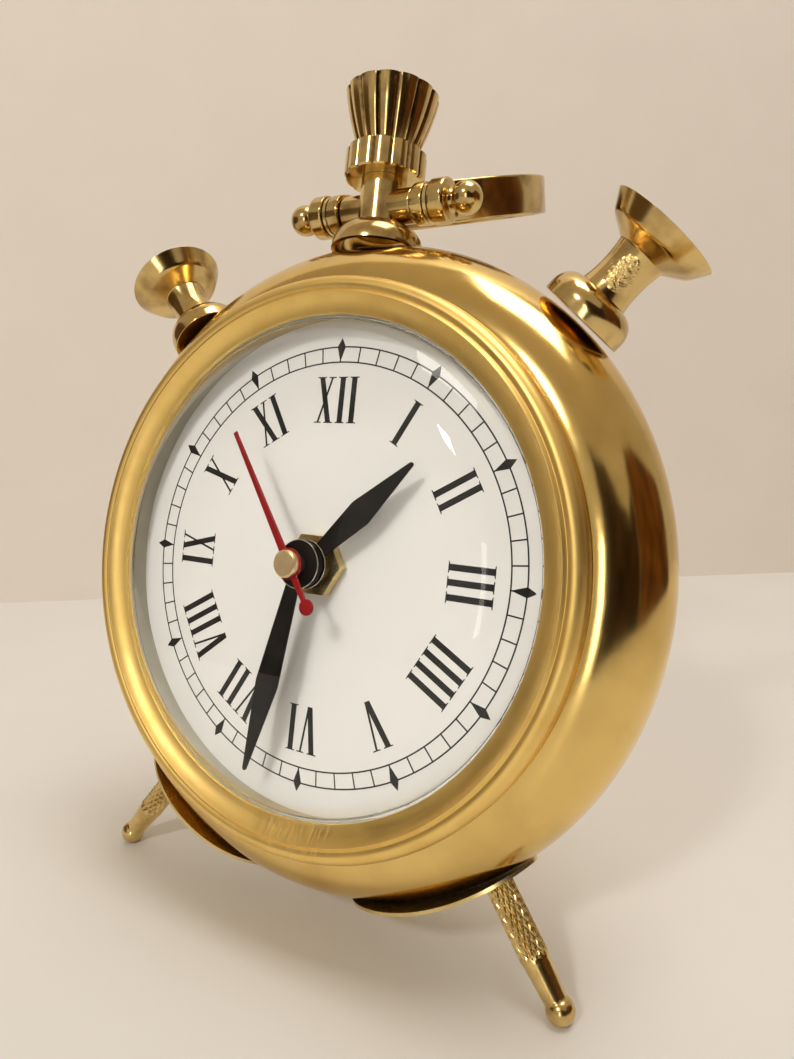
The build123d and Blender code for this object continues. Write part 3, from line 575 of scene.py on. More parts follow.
AGED_BRIGHT, AGED_STAINED = (0.70, 0.51, 0.21), (0.22, 0.12, 0.035)
POLISHED = Brass("polished brass", AGED_BRIGHT, AGED_STAINED, 0.16, stain_size=7.0, stain_share=0.85)
PITTED = Brass(
    "pitted brass",
    AGED_BRIGHT,
    AGED_STAINED,
    0.16,
    stain_size=7.0,
    stain_share=0.85,
    worn_at=(58.4, 5.5, 61.3),
    worn_reach=3.6,
    worn_depth=0.0003,
)
# groove_count colours the crown's flute grooves darker
TARNISHED = Brass("tarnished brass", AGED_BRIGHT, (0.19, 0.10, 0.035), 0.15, stain_size=6.0, groove_count=14)
KNURLED = Brass("knurled brass", (0.74, 0.55, 0.23), (0.34, 0.21, 0.07), 0.2, stain_size=4.0)
SPUN = Brass(
    "spun brass",
    bright=(0.80, 0.57, 0.20),
    stained=(0.56, 0.37, 0.11),
    roughness=0.14,
    grain=Grain.SPUN,
    stain_size=14.0,
    dent_depth=0.00005,
)
SATIN = Brass(
    "satin brass",
    bright=(0.89, 0.63, 0.21),
    stained=(0.76, 0.50, 0.14),
    grain=Grain.SPUN,
    roughness=0.4,
    mark_depth=0.00001,
    worn_at=(6.0, -8.0, -56.0),
    worn_reach=11.0,
    worn_depth=0.00012,
    worn_grain=(0.9, 0.25, 0.2),
)
DULL = Brass("dull brass", bright=(0.74, 0.58, 0.27), stained=(0.50, 0.36, 0.14), roughness=0.26)
TURNED = Brass(
    "turned brass", (0.88, 0.69, 0.40), (0.68, 0.49, 0.23), 0.36, Grain.SPUN, 0.00003, stain_size=4.0
)
GLASS = ClearGlass("clear glass")
DIAL_WHITE = Coated("dial white", (0.76, 0.755, 0.735), (0.74, 0.735, 0.715), 0.5, 18.0, 0.000004, 0.3)
SPACER_GREEN = Coated("spacer grey green", (0.39, 0.37, 0.29), (0.35, 0.33, 0.255), 0.5)
PRINT_BLACK = Coated("print black", (0.012, 0.011, 0.011), (0.02, 0.018, 0.018), 0.5, 3.0, specular=0.2)
HAND_BLACK = Coated("hand black", (0.004, 0.0035, 0.003), (0.012, 0.010, 0.008), 0.5, 4.0, specular=0.12)
HAND_RED = Coated("hand red", (0.25, 0.005, 0.007), (0.19, 0.004, 0.005), 0.4, 4.0, specular=0.2)
BLACK_PLASTIC = Coated("black plastic", (0.02, 0.02, 0.021), (0.03, 0.03, 0.031), 0.5, 5.0, 0.00003)
GREY_PLASTIC = Coated("grey plastic", (0.28, 0.28, 0.27), (0.24, 0.24, 0.235), 0.5, 5.0, 0.00003)
RUBBER = Coated("black rubber", (0.016, 0.016, 0.016), (0.024, 0.023, 0.022), 0.75, 4.0, 0.00003, 0.3)
NYLON = Coated("white nylon", (0.80, 0.79, 0.74), (0.74, 0.73, 0.68), 0.45, 4.0)
STEEL = Brass("zinc plated steel", (0.62, 0.62, 0.60), (0.48, 0.48, 0.46), 0.28, stain_size=5.0)
MAGNET = Brass("grey magnet", (0.16, 0.16, 0.165), (0.11, 0.11, 0.115), 0.45, stain_size=3.0)
IRON = Brass("sheet iron", (0.42, 0.41, 0.40), (0.30, 0.28, 0.26), 0.38, stain_size=4.0)
BARE_EDGE = Brass("bare edge", (0.80, 0.79, 0.76), (0.62, 0.60, 0.57), 0.22, stain_size=2.0)
TUBES = TubeMetal("hand tubes")
WINDING = Banded("copper winding")
SLEEVE = Banded(
    "battery sleeve", (0.03, 0.03, 0.032), (0.62, 0.40, 0.13), 2, 34.0, 0.28, 0.3, 0.32, 0.00001
)
BOARD = Board("circuit board")


def bend(start: Vector, knee: Vector, end: Vector, part: float) -> Vector:
    """Return the point at a share of the way along a curve that leaves both its ends towards the knee."""
    return start * (1 - part) ** 2 + knee * (2 * part * (1 - part)) + end * part**2


@dataclass
class Turning:
    """A turned piece: a closed outline of radius, height and edge rounding, spun about its own Z.

    Attributes:
        corners: Corners of the outline.
        segments: Number of segments around.
    """

    corners: Sequence[Corner]
    segments: int = 160

    def outline(self) -> list[Point]:
        """Return the outline with its edges rounded.

        Returns:
            Points of radius and height, in order around the outline.
        """
        points: list[Point] = []
        count = len(self.corners)
        for index, (radius, height, rounding) in enumerate(self.corners):
            here = Vector((radius, height))
            if rounding <= 0 or radius < 1e-6:
                points.append((radius, height))
                continue
            before = Vector(self.corners[index - 1][:2]) - here
            after = Vector(self.corners[(index + 1) % count][:2]) - here
            reach = min(rounding, 0.45 * before.length, 0.45 * after.length)
            start = here + before.normalized() * reach
            end = here + after.normalized() * reach
            lead = here + before.normalized() * min(1.5 * reach, 0.48 * before.length)
            trail = here + after.normalized() * min(1.5 * reach, 0.48 * after.length)
            points.append(tuple(lead))
            points.extend(tuple(bend(start, here, end, step / 5)) for step in range(6))
            points.append(tuple(trail))
        return points

    def mesh(self, name: str) -> bpy.types.Mesh:
        """Spin the outline.

        Args:
            name: Name of the mesh.

        Returns:
            The closed mesh in the piece's own millimetres.
        """
        form = bmesh.new()
        rings = []
        for radius, height in self.outline():
            if radius < 1e-6:
                rings.append([form.verts.new((0, 0, height))])
                continue
            ring = []
            for index in range(self.segments):
                angle = 2 * math.pi * index / self.segments
                ring.append(form.verts.new((radius * math.cos(angle), radius * math.sin(angle), height)))
            rings.append(ring)
        for first, second in zip(rings, rings[1:] + rings[:1]):
            self.join(form, first, second)
        return close_mesh(form, name)

    @staticmethod
    def join(form: bmesh.types.BMesh, first: list, second: list) -> None:
        """Join two neighbouring rings with faces.

        Args:
            form: Form that takes the faces.
            first: Points of the first ring, or its one point on the axis.
            second: Points of the second ring, or its one point on the axis.
        """
        count = max(len(first), len(second))
        if count == 1:
            return
        for index in range(count):
            following = (index + 1) % count
            corners = [first[index % len(first)], second[index % len(second)]]
            if len(second) > 1:
                corners.append(second[following])
            if len(first) > 1:
                corners.append(first[following])
            form.faces.new(corners)


def close_mesh(form: bmesh.types.BMesh, name: str, sharp_deg: float = 38.0) -> bpy.types.Mesh:
    """Finish a form as a smooth shaded mesh with its sharp edges marked.

    Args:
        form: The form, which is freed.
        name: Name of the mesh.
        sharp_deg: Angle above which an edge stays sharp; nothing is smooth at zero.

    Returns:
        The new mesh.
    """
    bmesh.ops.remove_doubles(form, verts=form.verts, dist=1e-6)
    bmesh.ops.recalc_face_normals(form, faces=form.faces)
    for face in form.faces:
        face.smooth = sharp_deg > 0
    for edge in form.edges:
        edge.smooth = len(edge.link_faces) != 2 or edge.calc_face_angle(0.0) < math.radians(sharp_deg)
    mesh = bpy.data.meshes.new(name)
    form.to_mesh(mesh)
    form.free()
    return mesh


def arc_points(centre: Point, radii: Point, start_deg: float, end_deg: float, steps: int) -> list[Corner]:
    """Sample an elliptical arc as corners without rounding.

    Args:
        centre: Centre of the ellipse.
        radii: Its two half axes.
        start_deg: Angle of the first point.
        end_deg: Angle of the last point.
        steps: Number of steps.

    Returns:
        The points of the arc.
    """
    points = []
    for step in range(steps + 1):
        angle = math.radians(start_deg + (end_deg - start_deg) * step / steps)
        points.append((centre[0] + radii[0] * math.cos(angle), centre[1] + radii[1] * math.sin(angle), 0.0))
    return points


def bowed(start: Point, end: Point, bulge: float, steps: int = 16) -> list[Corner]:
    """Sample a shallow arc between two points.

    Args:
        start: First point.
        end: Last point.
        bulge: Height of the arc, to the left of the way from start to end.
        steps: Number of steps.

    Returns:
        The points of the arc without its two ends.
    """
    way = Vector(end) - Vector(start)
    side = Vector((-way.y, way.x)).normalized()
    points = []
    for step in range(1, steps):
        part = step / steps
        place = Vector(start) + way * part + side * (4 * bulge * part * (1 - part))
        points.append((place.x, place.y, 0.0))
    return points


def ball_end(height: float, ball: float, neck: float) -> list[Corner]:
    """Sample the outline of a ball from its neck to its far end.

    Args:
        height: Height of the ball's centre.
        ball: Radius of the ball.
        neck: Radius of the neck.

    Returns:
        The points of the outline.
    """
    open_deg = math.degrees(math.asin(neck / ball))
    globe = arc_points((0.0, height), (ball, ball), open_deg - 90, 90, 24)
    return [*globe[:-1], (0.0, height + ball, 0.0)]


class Workshop:
    """Turns finished meshes into pieces that ride the frame's bodies."""

    def piece(
        self,
        mesh: bpy.types.Mesh,
        place: Matrix,
        body: Body,
        finish: Finish,
        slot: str,
        nodes: Sequence[str] = (),
    ) -> bpy.types.Object:
        """Put a mesh in its place as a piece.

        Args:
            mesh: Mesh in its own millimetres.
            place: Transform to clock millimetres.
            body: Body that the piece rides.
            finish: Finish of the piece.
            slot: Material slot of the record; not used.
            nodes: Nodes that the piece replaces.

        Returns:
            The new object.
        """
        mesh.transform(AXES.matrix() @ place)
        mesh.materials.clear()
        mesh.materials.append(finish.material())
        piece = bpy.data.objects.new(mesh.name, mesh)
        bpy.context.scene.collection.objects.link(piece)
        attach(piece, body.value)
        if nodes:
            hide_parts(*nodes)
        LOG.info("%s: %d faces", piece.name, len(mesh.polygons))
        return piece

    def smooth_copy(self, node: str, body: Body, finish: Finish, slot: str) -> bpy.types.Object:
        """Stand a merged, smooth shaded copy in for a node.

        Args:
            node: Name of the node.
            body: Body that the copy rides.
            finish: Finish of the copy.
            slot: Material slot of the record.

        Returns:
            The new object.
        """
        form = bmesh.new()
        form.from_mesh(frame["nodes"][node].data)
        bmesh.ops.transform(form, matrix=AXES.matrix().inverted(), verts=form.verts)
        bmesh.ops.remove_doubles(form, verts=form.verts, dist=0.002)
        return self.piece(close_mesh(form, f"{node}_smooth", 28.0), Matrix(), body, finish, slot, [node])

    def dress(self, node: str, finish: Finish) -> None:
        """Give a node of the frame its finish.

        Args:
            node: Name of the node.
            finish: Finish of the node.
        """
        materials = frame["nodes"][node].data.materials
        materials.clear()
        materials.append(finish.material())
        LOG.info("%s: finish %s", node, finish.name)


SHOP = Workshop()


class Pattern:
    """A small geometry node group that is run once on a mesh."""

    def __init__(self, name: str) -> None:
        """Start an empty group with one mesh going in and one coming out.

        Args:
            name: Name of the group.
        """
        self.tree = bpy.data.node_groups.new(name, "GeometryNodeTree")
        self.sheet = NodeSheet(self.tree)
        self.tree.interface.new_socket("Geometry", in_out="INPUT", socket_type="NodeSocketGeometry")
        self.tree.interface.new_socket("Geometry", in_out="OUTPUT", socket_type="NodeSocketGeometry")
        self.source = self.sheet.add("NodeGroupInput")
        self.result = self.sheet.add("NodeGroupOutput")
        self.values: dict[str, object] = {}

    def value(self, name: str, kind: str, value: object) -> bpy.types.NodeSocket:
        """Add a named input.

        Args:
            name: Name of the input.
            kind: Type of the socket.
            value: Value for this run.

        Returns:
            The socket that carries the value.
        """
        socket = self.tree.interface.new_socket(name, in_out="INPUT", socket_type=kind)
        self.values[socket.identifier] = value
        return self.source.outputs[name]

    def sizes(self, **values: float) -> list[bpy.types.NodeSocket]:
        """Add inputs for sizes, by name, and return their sockets."""
        return [self.value(name.capitalize(), "NodeSocketFloat", value) for name, value in values.items()]

    def around(self) -> tuple[bpy.types.NodeSocket, bpy.types.NodeSocket]:
        """Return each point's angle around the mesh's own Z axis, and its height."""
        across, along, up = self.sheet.parts(self.sheet.add("GeometryNodeInputPosition").outputs[0])
        return self.sheet.math("ARCTAN2", along, across), up

    def press(self, angle: object, groove: object, depth: object, shares: Sequence[object]) -> None:
        """Push the mesh towards its own Z axis.

        Args:
            angle: Angle of each point around the axis.
            groove: Share of the depth that a point is pushed.
            depth: Depth of the grooves.
            shares: Shares that end the grooves at their start and at their end.
        """
        sheet = self.sheet
        push = sheet.math("MULTIPLY", sheet.math("MULTIPLY", groove, depth), sheet.math("MULTIPLY", *shares))
        inward = sheet.math("MULTIPLY", push, -1.0)
        ways = [sheet.math("MULTIPLY", inward, sheet.math(kind, angle)) for kind in ("COSINE", "SINE")]
        offset = sheet.add("ShaderNodeCombineXYZ", dict(enumerate(ways))).outputs[0]
        inputs = {"Geometry": self.source.outputs[0], "Offset": offset}
        sheet.feed(self.result.inputs[0], sheet.add("GeometryNodeSetPosition", inputs).outputs[0])

    def run(self, mesh: bpy.types.Mesh, finish: Finish) -> bpy.types.Mesh:
        """Run the group on a mesh.

        Args:
            mesh: Mesh that goes in; it is removed.
            finish: Finish set on the result.

        Returns:
            The resulting mesh.
        """
        last = self.result.inputs[0].links[0].from_socket
        real = self.sheet.add("GeometryNodeRealizeInstances", {0: last}).outputs[0]
        material = self.value("Material", "NodeSocketMaterial", finish.material())
        dressed = self.sheet.add("GeometryNodeSetMaterial", {"Geometry": real, "Material": material})
        self.sheet.feed(self.result.inputs[0], dressed.outputs[0])
        carrier = bpy.data.objects.new(mesh.name, mesh)
        bpy.context.scene.collection.objects.link(carrier)
        modifier = carrier.modifiers.new(self.tree.name, "NODES")
        modifier.node_group = self.tree
        for identifier, value in self.values.items():
            modifier[identifier] = value
        graph = bpy.context.evaluated_depsgraph_get()
        made = bpy.data.meshes.new_from_object(carrier.evaluated_get(graph))
        name = mesh.name
        bpy.data.objects.remove(carrier)
        bpy.data.meshes.remove(mesh)
        bpy.data.node_groups.remove(self.tree)
        made.name = name
        return made


@dataclass(frozen=True)
class RingOfMarks:
    """A mark repeated around a circle.

    Attributes:
        count: Number of marks.
        finish: Finish of the marks.
    """

    count: int
    finish: Finish

    def make(self, mark: bpy.types.Mesh) -> bpy.types.Mesh:
        """Repeat a mark clockwise around the origin, seen along its own Z.

        Args:
            mark: The first mark, at the top.

        Returns:
            One mesh with all the marks.
        """
        pattern = Pattern("ring of marks")
        sheet = pattern.sheet
        count = pattern.value("Count", "NodeSocketInt", self.count)
        points = sheet.add("GeometryNodePoints", {"Count": count})
        index = sheet.add("GeometryNodeInputIndex").outputs[0]
        turn = sheet.math("MULTIPLY", sheet.math("DIVIDE", index, count), -2 * math.pi)
        rotation = sheet.add("ShaderNodeCombineXYZ", {2: turn}).outputs[0]
        inputs = {"Points": points.outputs[0], "Instance": pattern.source.outputs[0], "Rotation": rotation}
        ring = sheet.add("GeometryNodeInstanceOnPoints", inputs)
        sheet.feed(pattern.result.inputs[0], ring.outputs[0])
        return pattern.run(mark, self.finish)


@dataclass(frozen=True)
class Flutes:
    """Rounded flutes pressed into a turned mesh.

    Attributes:
        count: Number of lobes around.
        depth: Depth of the grooves in millimetres.
        low: Height at which the flutes start.
        high: Height at which they end.
        finish: Finish of the result.
    """

    count: int
    depth: float
    low: float
    high: float
    finish: Finish

    def make(self, mesh: bpy.types.Mesh) -> bpy.types.Mesh:
        """Press the flutes into a mesh.

        Args:
            mesh: The mesh, which is removed.

        Returns:
            The fluted mesh.
        """
        pattern = Pattern("flutes")
        sheet = pattern.sheet
        sizes = {"count": float(self.count), "depth": self.depth, "low": self.low, "high": self.high}
        count, depth, low, high = pattern.sizes(**sizes)
        angle, up = pattern.around()
        turn = sheet.math("FRACT", sheet.math("MULTIPLY", angle, sheet.math("DIVIDE", count, 2 * math.pi)))
        lobe = sheet.math("SUBTRACT", sheet.math("MULTIPLY", turn, 2.0), 1.0)
        fall = sheet.math("SUBTRACT", 1.0, sheet.math("MULTIPLY", sheet.math("MULTIPLY", lobe, lobe), 0.9))
        groove = sheet.math("SUBTRACT", 1.0, sheet.math("SQRT", fall))
        start = sheet.span(up, low, sheet.math("ADD", low, 0.5))
        stop = sheet.span(up, high, sheet.math("ADD", high, 0.3), 1.0, 0.0)
        pattern.press(angle, groove, depth, (start, stop))
        return pattern.run(mesh, self.finish)


@dataclass(frozen=True)
class Knurl:
    """Diamond knurling rolled into a turned shaft.

    Attributes:
        count: Number of grooves of each hand around the shaft.
        pitch: Distance between grooves along the shaft in millimetres.
        depth: Depth of the grooves in millimetres.
        low: Height at which the knurling starts.
        high: Height at which it ends.
        finish: Finish of the result.
    """

    count: int
    pitch: float
    depth: float
    low: float
    high: float
    finish: Finish

    def make(self, mesh: bpy.types.Mesh) -> bpy.types.Mesh:
        """Roll the knurling into a mesh.

        Args:
            mesh: The mesh, which is removed.

        Returns:
            The knurled mesh.
        """
        pattern = Pattern("knurl")
        sheet = pattern.sheet
        sizes = {"count": float(self.count), "pitch": self.pitch, "depth": self.depth}
        count, pitch, depth, low, high = pattern.sizes(**sizes, low=self.low, high=self.high)
        angle, up = pattern.around()
        around = sheet.math("MULTIPLY", angle, sheet.math("DIVIDE", count, 2 * math.pi))
        rise = sheet.math("DIVIDE", up, pitch)
        hands = [sheet.fold(sheet.math(hand, around, rise)) for hand in ("ADD", "SUBTRACT")]
        groove = sheet.span(sheet.math("MAXIMUM", *hands), 0.175, 0.5)
        start = sheet.span(up, low, sheet.math("ADD", low, 0.4))
        stop = sheet.span(up, sheet.math("SUBTRACT", high, 1.2), high, 1.0, 0.0)
        pattern.press(angle, groove, depth, (start, stop))
        return pattern.run(mesh, self.finish)


@dataclass
class CaseBarrel:
    """Spun brass barrel with its open back.

    Attributes:
        front: Depth of the front edge.
        rear: Depth at which the back cone starts.
        back: Depth of the back opening.
        ring: Radius of the barrel's curve centre.
        bulge: How far the barrel stands out from it.
        seam: Radius of the front and rear ends.
        bore: Radius of the front bore.
        opening: Radius of the back opening.
        wall: Wall thickness.
    """

    front: float = -4.0
    rear: float = 24.0
    back: float = 26.2
    ring: float = 59.5
    bulge: float = 13.5
    seam: float = 61.2
    bore: float = 58.55
    opening: float = 40.0
    wall: float = 1.0

    def build(self) -> None:
        """Turn the barrel."""
        start = math.degrees(math.acos((self.seam - self.ring) / self.bulge))
        half = (self.rear - BARREL_MID) / math.sin(math.radians(start))
        outer = arc_points((self.ring, BARREL_MID), (self.bulge, half), -start, start, 48)
        inner = arc_points(
            (self.ring, BARREL_MID), (self.bulge - self.wall, half - self.wall), start - 6, 6 - start, 32
        )
        corners = [
            *outer,
            (self.opening, self.back, 0.3),
            (self.opening, self.back - self.wall, 0.2),
            *inner,
            (self.bore, self.front + self.wall, 0.2),
            (self.bore, self.front, 0.2),
        ]
        mesh = Turning(corners, 320).mesh("case_barrel")
        SHOP.piece(mesh, MAIN_AXIS, Body.CLOCK, SPUN, "polished_brass", ["case_shell"])


@dataclass
class BezelAndGlass:
    """Satin bezel with two ridges and the raised glass.

    Attributes:
        lip: Radius of the inner lip.
        lip_back: Depth of the lip's back.
        lip_front: Depth of the lip's front edge.
        ridge: Radius and depth of the thin ridge.
        groove: Radius and depth of the groove.
        roll: Radius and depth at which the outer roll starts.
        roll_radius: Radius of the outer roll.
        seat: Depth of the seat on the case.
        seam: Depth of the dark seam there.
        skirt: Outer and inner radius of the skirt.
        skirt_back: Depth of the skirt's end.
        glass_front: Depth of the glass flange's front.
        glass_edge: Radius of the glass at the lip.
        glass_flat: Radius and depth at which the edge curve ends.
        glass_apex: Depth of the glass in the middle.
        glass_wall: Thickness of the glass.
    """

    lip: float = 53.3
    lip_back: float = -6.05
    lip_front: float = -7.0
    ridge: Point = (57.3, -9.3)
    groove: Point = (58.1, -8.7)
    roll: Point = (58.9, -9.1)
    roll_radius: float = 2.3
    seat: float = -4.05
    seam: float = 0.75
    skirt: Point = (58.5, 57.4)
    skirt_back: float = 2.05
    glass_front: float = -6.0
    glass_edge: float = 52.9
    glass_flat: Point = (40.0, -13.55)
    glass_apex: float = -14.55
    glass_wall: float = 0.35

    def build(self) -> None:
        """Turn the bezel and the glass."""
        roll_centre = (self.roll[0], self.roll[1] + self.roll_radius)
        rolled = arc_points(roll_centre, (self.roll_radius, self.roll_radius), -90, 0, 12)
        outer = self.roll[0] + self.roll_radius
        corners = [
            (self.lip, self.lip_back, 0.0),
            (self.lip, self.lip_front, 0.3),
            *bowed((self.lip, self.lip_front), self.ridge, 0.38),
            (*self.ridge, 0.35),
            (*self.groove, 0.15),
            *rolled,
            (outer, self.seat - self.seam, 0.2),
            (outer - self.seam, self.seat, 0.0),
            (self.skirt[0], self.seat, 0.0),
            (self.skirt[0], self.skirt_back, 0.2),
            (self.skirt[1], self.skirt_back, 0.2),
            (self.skirt[1], self.lip_back, 0.0),
        ]
        bezel = Turning(corners, 320).mesh("bezel_ring")
        SHOP.piece(bezel, MAIN_AXIS, Body.CLOCK, SATIN, "satin_brass", ["bezel"])
        self.build_glass()

    def face(self, inset: float) -> list[Corner]:
        """Sample one face of the glass from the middle to the edge.

        Args:
            inset: Distance of the face behind the front.

        Returns:
            The points of the face.
        """
        flat_radius, flat_depth = self.glass_flat
        sag = flat_depth - self.glass_apex
        points = []
        for step in range(13):
            radius = flat_radius * step / 12
            points.append((radius, self.glass_apex + inset + sag * (radius / flat_radius) ** 2, 0.0))
        slope = 2 * sag / flat_radius
        start = Vector((flat_radius, flat_depth + inset))
        end = Vector((self.glass_edge - inset, self.glass_front))
        lean = Vector((1, slope)).normalized()
        chord = end - start
        knee = start + lean * (chord.length_squared / (2 * chord.dot(lean))) * 0.92
        points.extend((*bend(start, knee, end, step / 16), 0.0) for step in range(1, 17))
        return points

    def build_glass(self) -> None:
        """Turn the glass from its two faces."""
        back = self.glass_front + 0.5
        corners = [
            *self.face(0.0),
            (self.glass_edge, back, 0.0),
            (self.glass_edge - self.glass_wall, back, 0.0),
            *reversed(self.face(self.glass_wall)),
        ]
        mesh = Turning(corners, 256).mesh("glass_crystal")
        SHOP.piece(mesh, MAIN_AXIS, Body.CLOCK, GLASS, "clear_glass", ["glass"])


class Stroke(Enum):
    """Letters that the Roman hours are made of."""

    ONE = "I"
    FIVE = "V"
    TEN = "X"


@dataclass
class DialFace:
    """White dial with its minute track, hour marks and Roman hours.

    Attributes:
        inner_track: Radius of the inner line of the track.
        outer_track: Radius of the outer line of the track.
        line: Width of the track's lines.
        mark_tip: Outer radius of the hour marks.
        mark_half_width: Half width of the hour marks.
        foot: Radius of the numerals' feet.
        head: Radius of the numerals' heads.
        thick: Width of the thick strokes.
        thin: Width of the thin strokes.
        serif: Width of a serif on a thick stroke.
        serif_height: Height of a serif.
        five: Width of the letter for five.
        ten: Width of the letter for ten.
        gap: Gap between letters.
        ink: Height of the print.
        hours: The hours, from the top clockwise.
    """

    inner_track: float = 44.66
    outer_track: float = 48.0
    line: float = 0.32
    mark_tip: float = 50.0
    mark_half_width: float = 1.05
    foot: float = 31.2
    head: float = 41.4
    thick: float = 1.35
    thin: float = 0.5
    serif: float = 2.6
    serif_height: float = 0.26
    five: float = 5.4
    ten: float = 5.2
    gap: float = 0.42
    ink: float = 0.03
    hours: Sequence[str] = ("XII", "I", "II", "III", "IIII", "V", "VI", "VII", "VIII", "IX", "X", "XI")

    def build(self) -> None:
        """Dress the dial and print it."""
        SHOP.dress("dial", DIAL_WHITE)
        self.print_track()
        self.print_marks()
        self.print_hours()

    def printed(self, mesh: bpy.types.Mesh) -> bpy.types.Object:
        """Lay a printed mesh on the dial."""
        return SHOP.piece(mesh, DIAL_FACE, Body.CLOCK, PRINT_BLACK, "black_hands")

    def raise_flat(self, form: bmesh.types.BMesh, shape: Sequence[Point]) -> None:
        """Add a flat shape with the height of the print.

        Args:
            form: Form that takes the shape.
            shape: Corners of the shape.
        """
        low = [form.verts.new((x, y, 0.0)) for x, y in shape]
        high = [form.verts.new((x, y, self.ink)) for x, y in shape]
        form.faces.new(low)
        form.faces.new(high)
        for index in range(len(shape)):
            after = (index + 1) % len(shape)
            form.faces.new((low[index], low[after], high[after], high[index]))

    def print_track(self) -> None:
        """Print the two lines of the minute track."""
        for name, radius in (("inner", self.inner_track), ("outer", self.outer_track)):
            half = self.line / 2
            corners = [
                (radius - half, 0.0, 0.0),
                (radius + half, 0.0, 0.0),
                (radius + half, self.ink, 0.0),
                (radius - half, self.ink, 0.0),
            ]
            self.printed(Turning(corners, 256).mesh(f"track_{name}"))

    def print_marks(self) -> None:
        """Print the minute lines and the kite-shaped hour marks."""
        half = self.line / 2
        form = bmesh.new()
        low, high = self.inner_track, self.outer_track
        self.raise_flat(form, ((-half, low), (half, low), (half, high), (-half, high)))
        minute = close_mesh(form, "minute_lines")
        self.printed(RingOfMarks(60, PRINT_BLACK).make(minute))
        form = bmesh.new()
        wide = self.mark_half_width
        self.raise_flat(form, ((0.0, low), (wide, high), (0.0, self.mark_tip), (-wide, high)))
        kite = close_mesh(form, "hour_marks")
        self.printed(RingOfMarks(12, PRINT_BLACK).make(kite))

    def letter_width(self, letter: Stroke) -> float:
        """Return the width of a letter with its serifs."""
        return {Stroke.ONE: self.serif, Stroke.FIVE: self.five, Stroke.TEN: self.ten}[letter]

    def bar(self, top: float, bottom: float, width: float) -> list[Point]:
        """Draw a slanting stroke from head to foot.

        Args:
            top: Middle of the stroke at the head.
            bottom: Middle of the stroke at the foot.
            width: Width of the stroke.

        Returns:
            The corners of the stroke.
        """
        half = width / 2
        return [
            (bottom - half, self.foot),
            (bottom + half, self.foot),
            (top + half, self.head),
            (top - half, self.head),
        ]

    def serif_bar(self, middle: float, level: float, width: float) -> list[Point]:
        """Draw a serif that points into the letter.

        Args:
            middle: Middle of the serif.
            level: Level of its outer edge.
            width: Width of that edge.

        Returns:
            The corners of the serif.
        """
        half = width / 2
        short = half * 0.8
        inner = level + (self.serif_height if level < self.head else -self.serif_height)
        outer = [(middle - half, level), (middle + half, level)]
        return [*outer, (middle + short, inner), (middle - short, inner)]

    def letter_shapes(self, letter: Stroke, left: float) -> list[list[Point]]:
        """Draw one letter.

        Args:
            letter: The letter.
            left: Its left edge.

        Returns:
            Its shapes, drawn upright at the top of the dial.
        """
        width = self.letter_width(letter)
        right = left + width
        middle = left + width / 2
        strong = self.serif / 2
        light = self.serif * 0.4
        if letter is Stroke.ONE:
            return [
                self.bar(middle, middle, self.thick),
                self.serif_bar(middle, self.foot, self.serif),
                self.serif_bar(middle, self.head, self.serif),
            ]
        heads = [
            self.serif_bar(left + strong, self.head, self.serif),
            self.serif_bar(right - light, self.head, 2 * light),
        ]
        if letter is Stroke.FIVE:
            return [
                self.bar(left + strong, middle + 0.1, self.thick),
                self.bar(right - light, middle + 0.4, self.thin),
                *heads,
            ]
        return [
            self.bar(left + strong, right - strong, self.thick),
            self.bar(right - light, left + light, self.thin),
            *heads,
            self.serif_bar(right - strong, self.foot, self.serif),
            self.serif_bar(left + light, self.foot, 2 * light),
        ]

    def print_hours(self) -> None:
        """Print the twelve Roman hours with their feet to the centre."""
        form = bmesh.new()
        for hour, text in enumerate(self.hours):
            letters = [Stroke(sign) for sign in text]
            widths = [self.letter_width(letter) for letter in letters]
            left = -(sum(widths) + self.gap * (len(letters) - 1)) / 2
            angle = -math.radians(30 * hour)
            cosine, sine = math.cos(angle), math.sin(angle)
            for letter, width in zip(letters, widths):
                for shape in self.letter_shapes(letter, left):
                    turned = [(x * cosine - y * sine, x * sine + y * cosine) for x, y in shape]
                    self.raise_flat(form, turned)
                left += width + self.gap
        self.printed(close_mesh(form, "roman_hours"))


def hand_place(front: float, thickness: float, angle_deg: float) -> Matrix:
    """Place a hand that points up in its own plane.

    Args:
        front: Distance of the front face before the dial.
        thickness: Thickness of the sheet.
        angle_deg: Clockwise angle from twelve.

    Returns:
        The transform from the hand's own plane to clock millimetres.
    """
    lift = DIAL_FACE @ Matrix.Translation((0, 0, front - thickness))
    return lift @ Matrix.Rotation(-math.radians(angle_deg), 4, "Z")


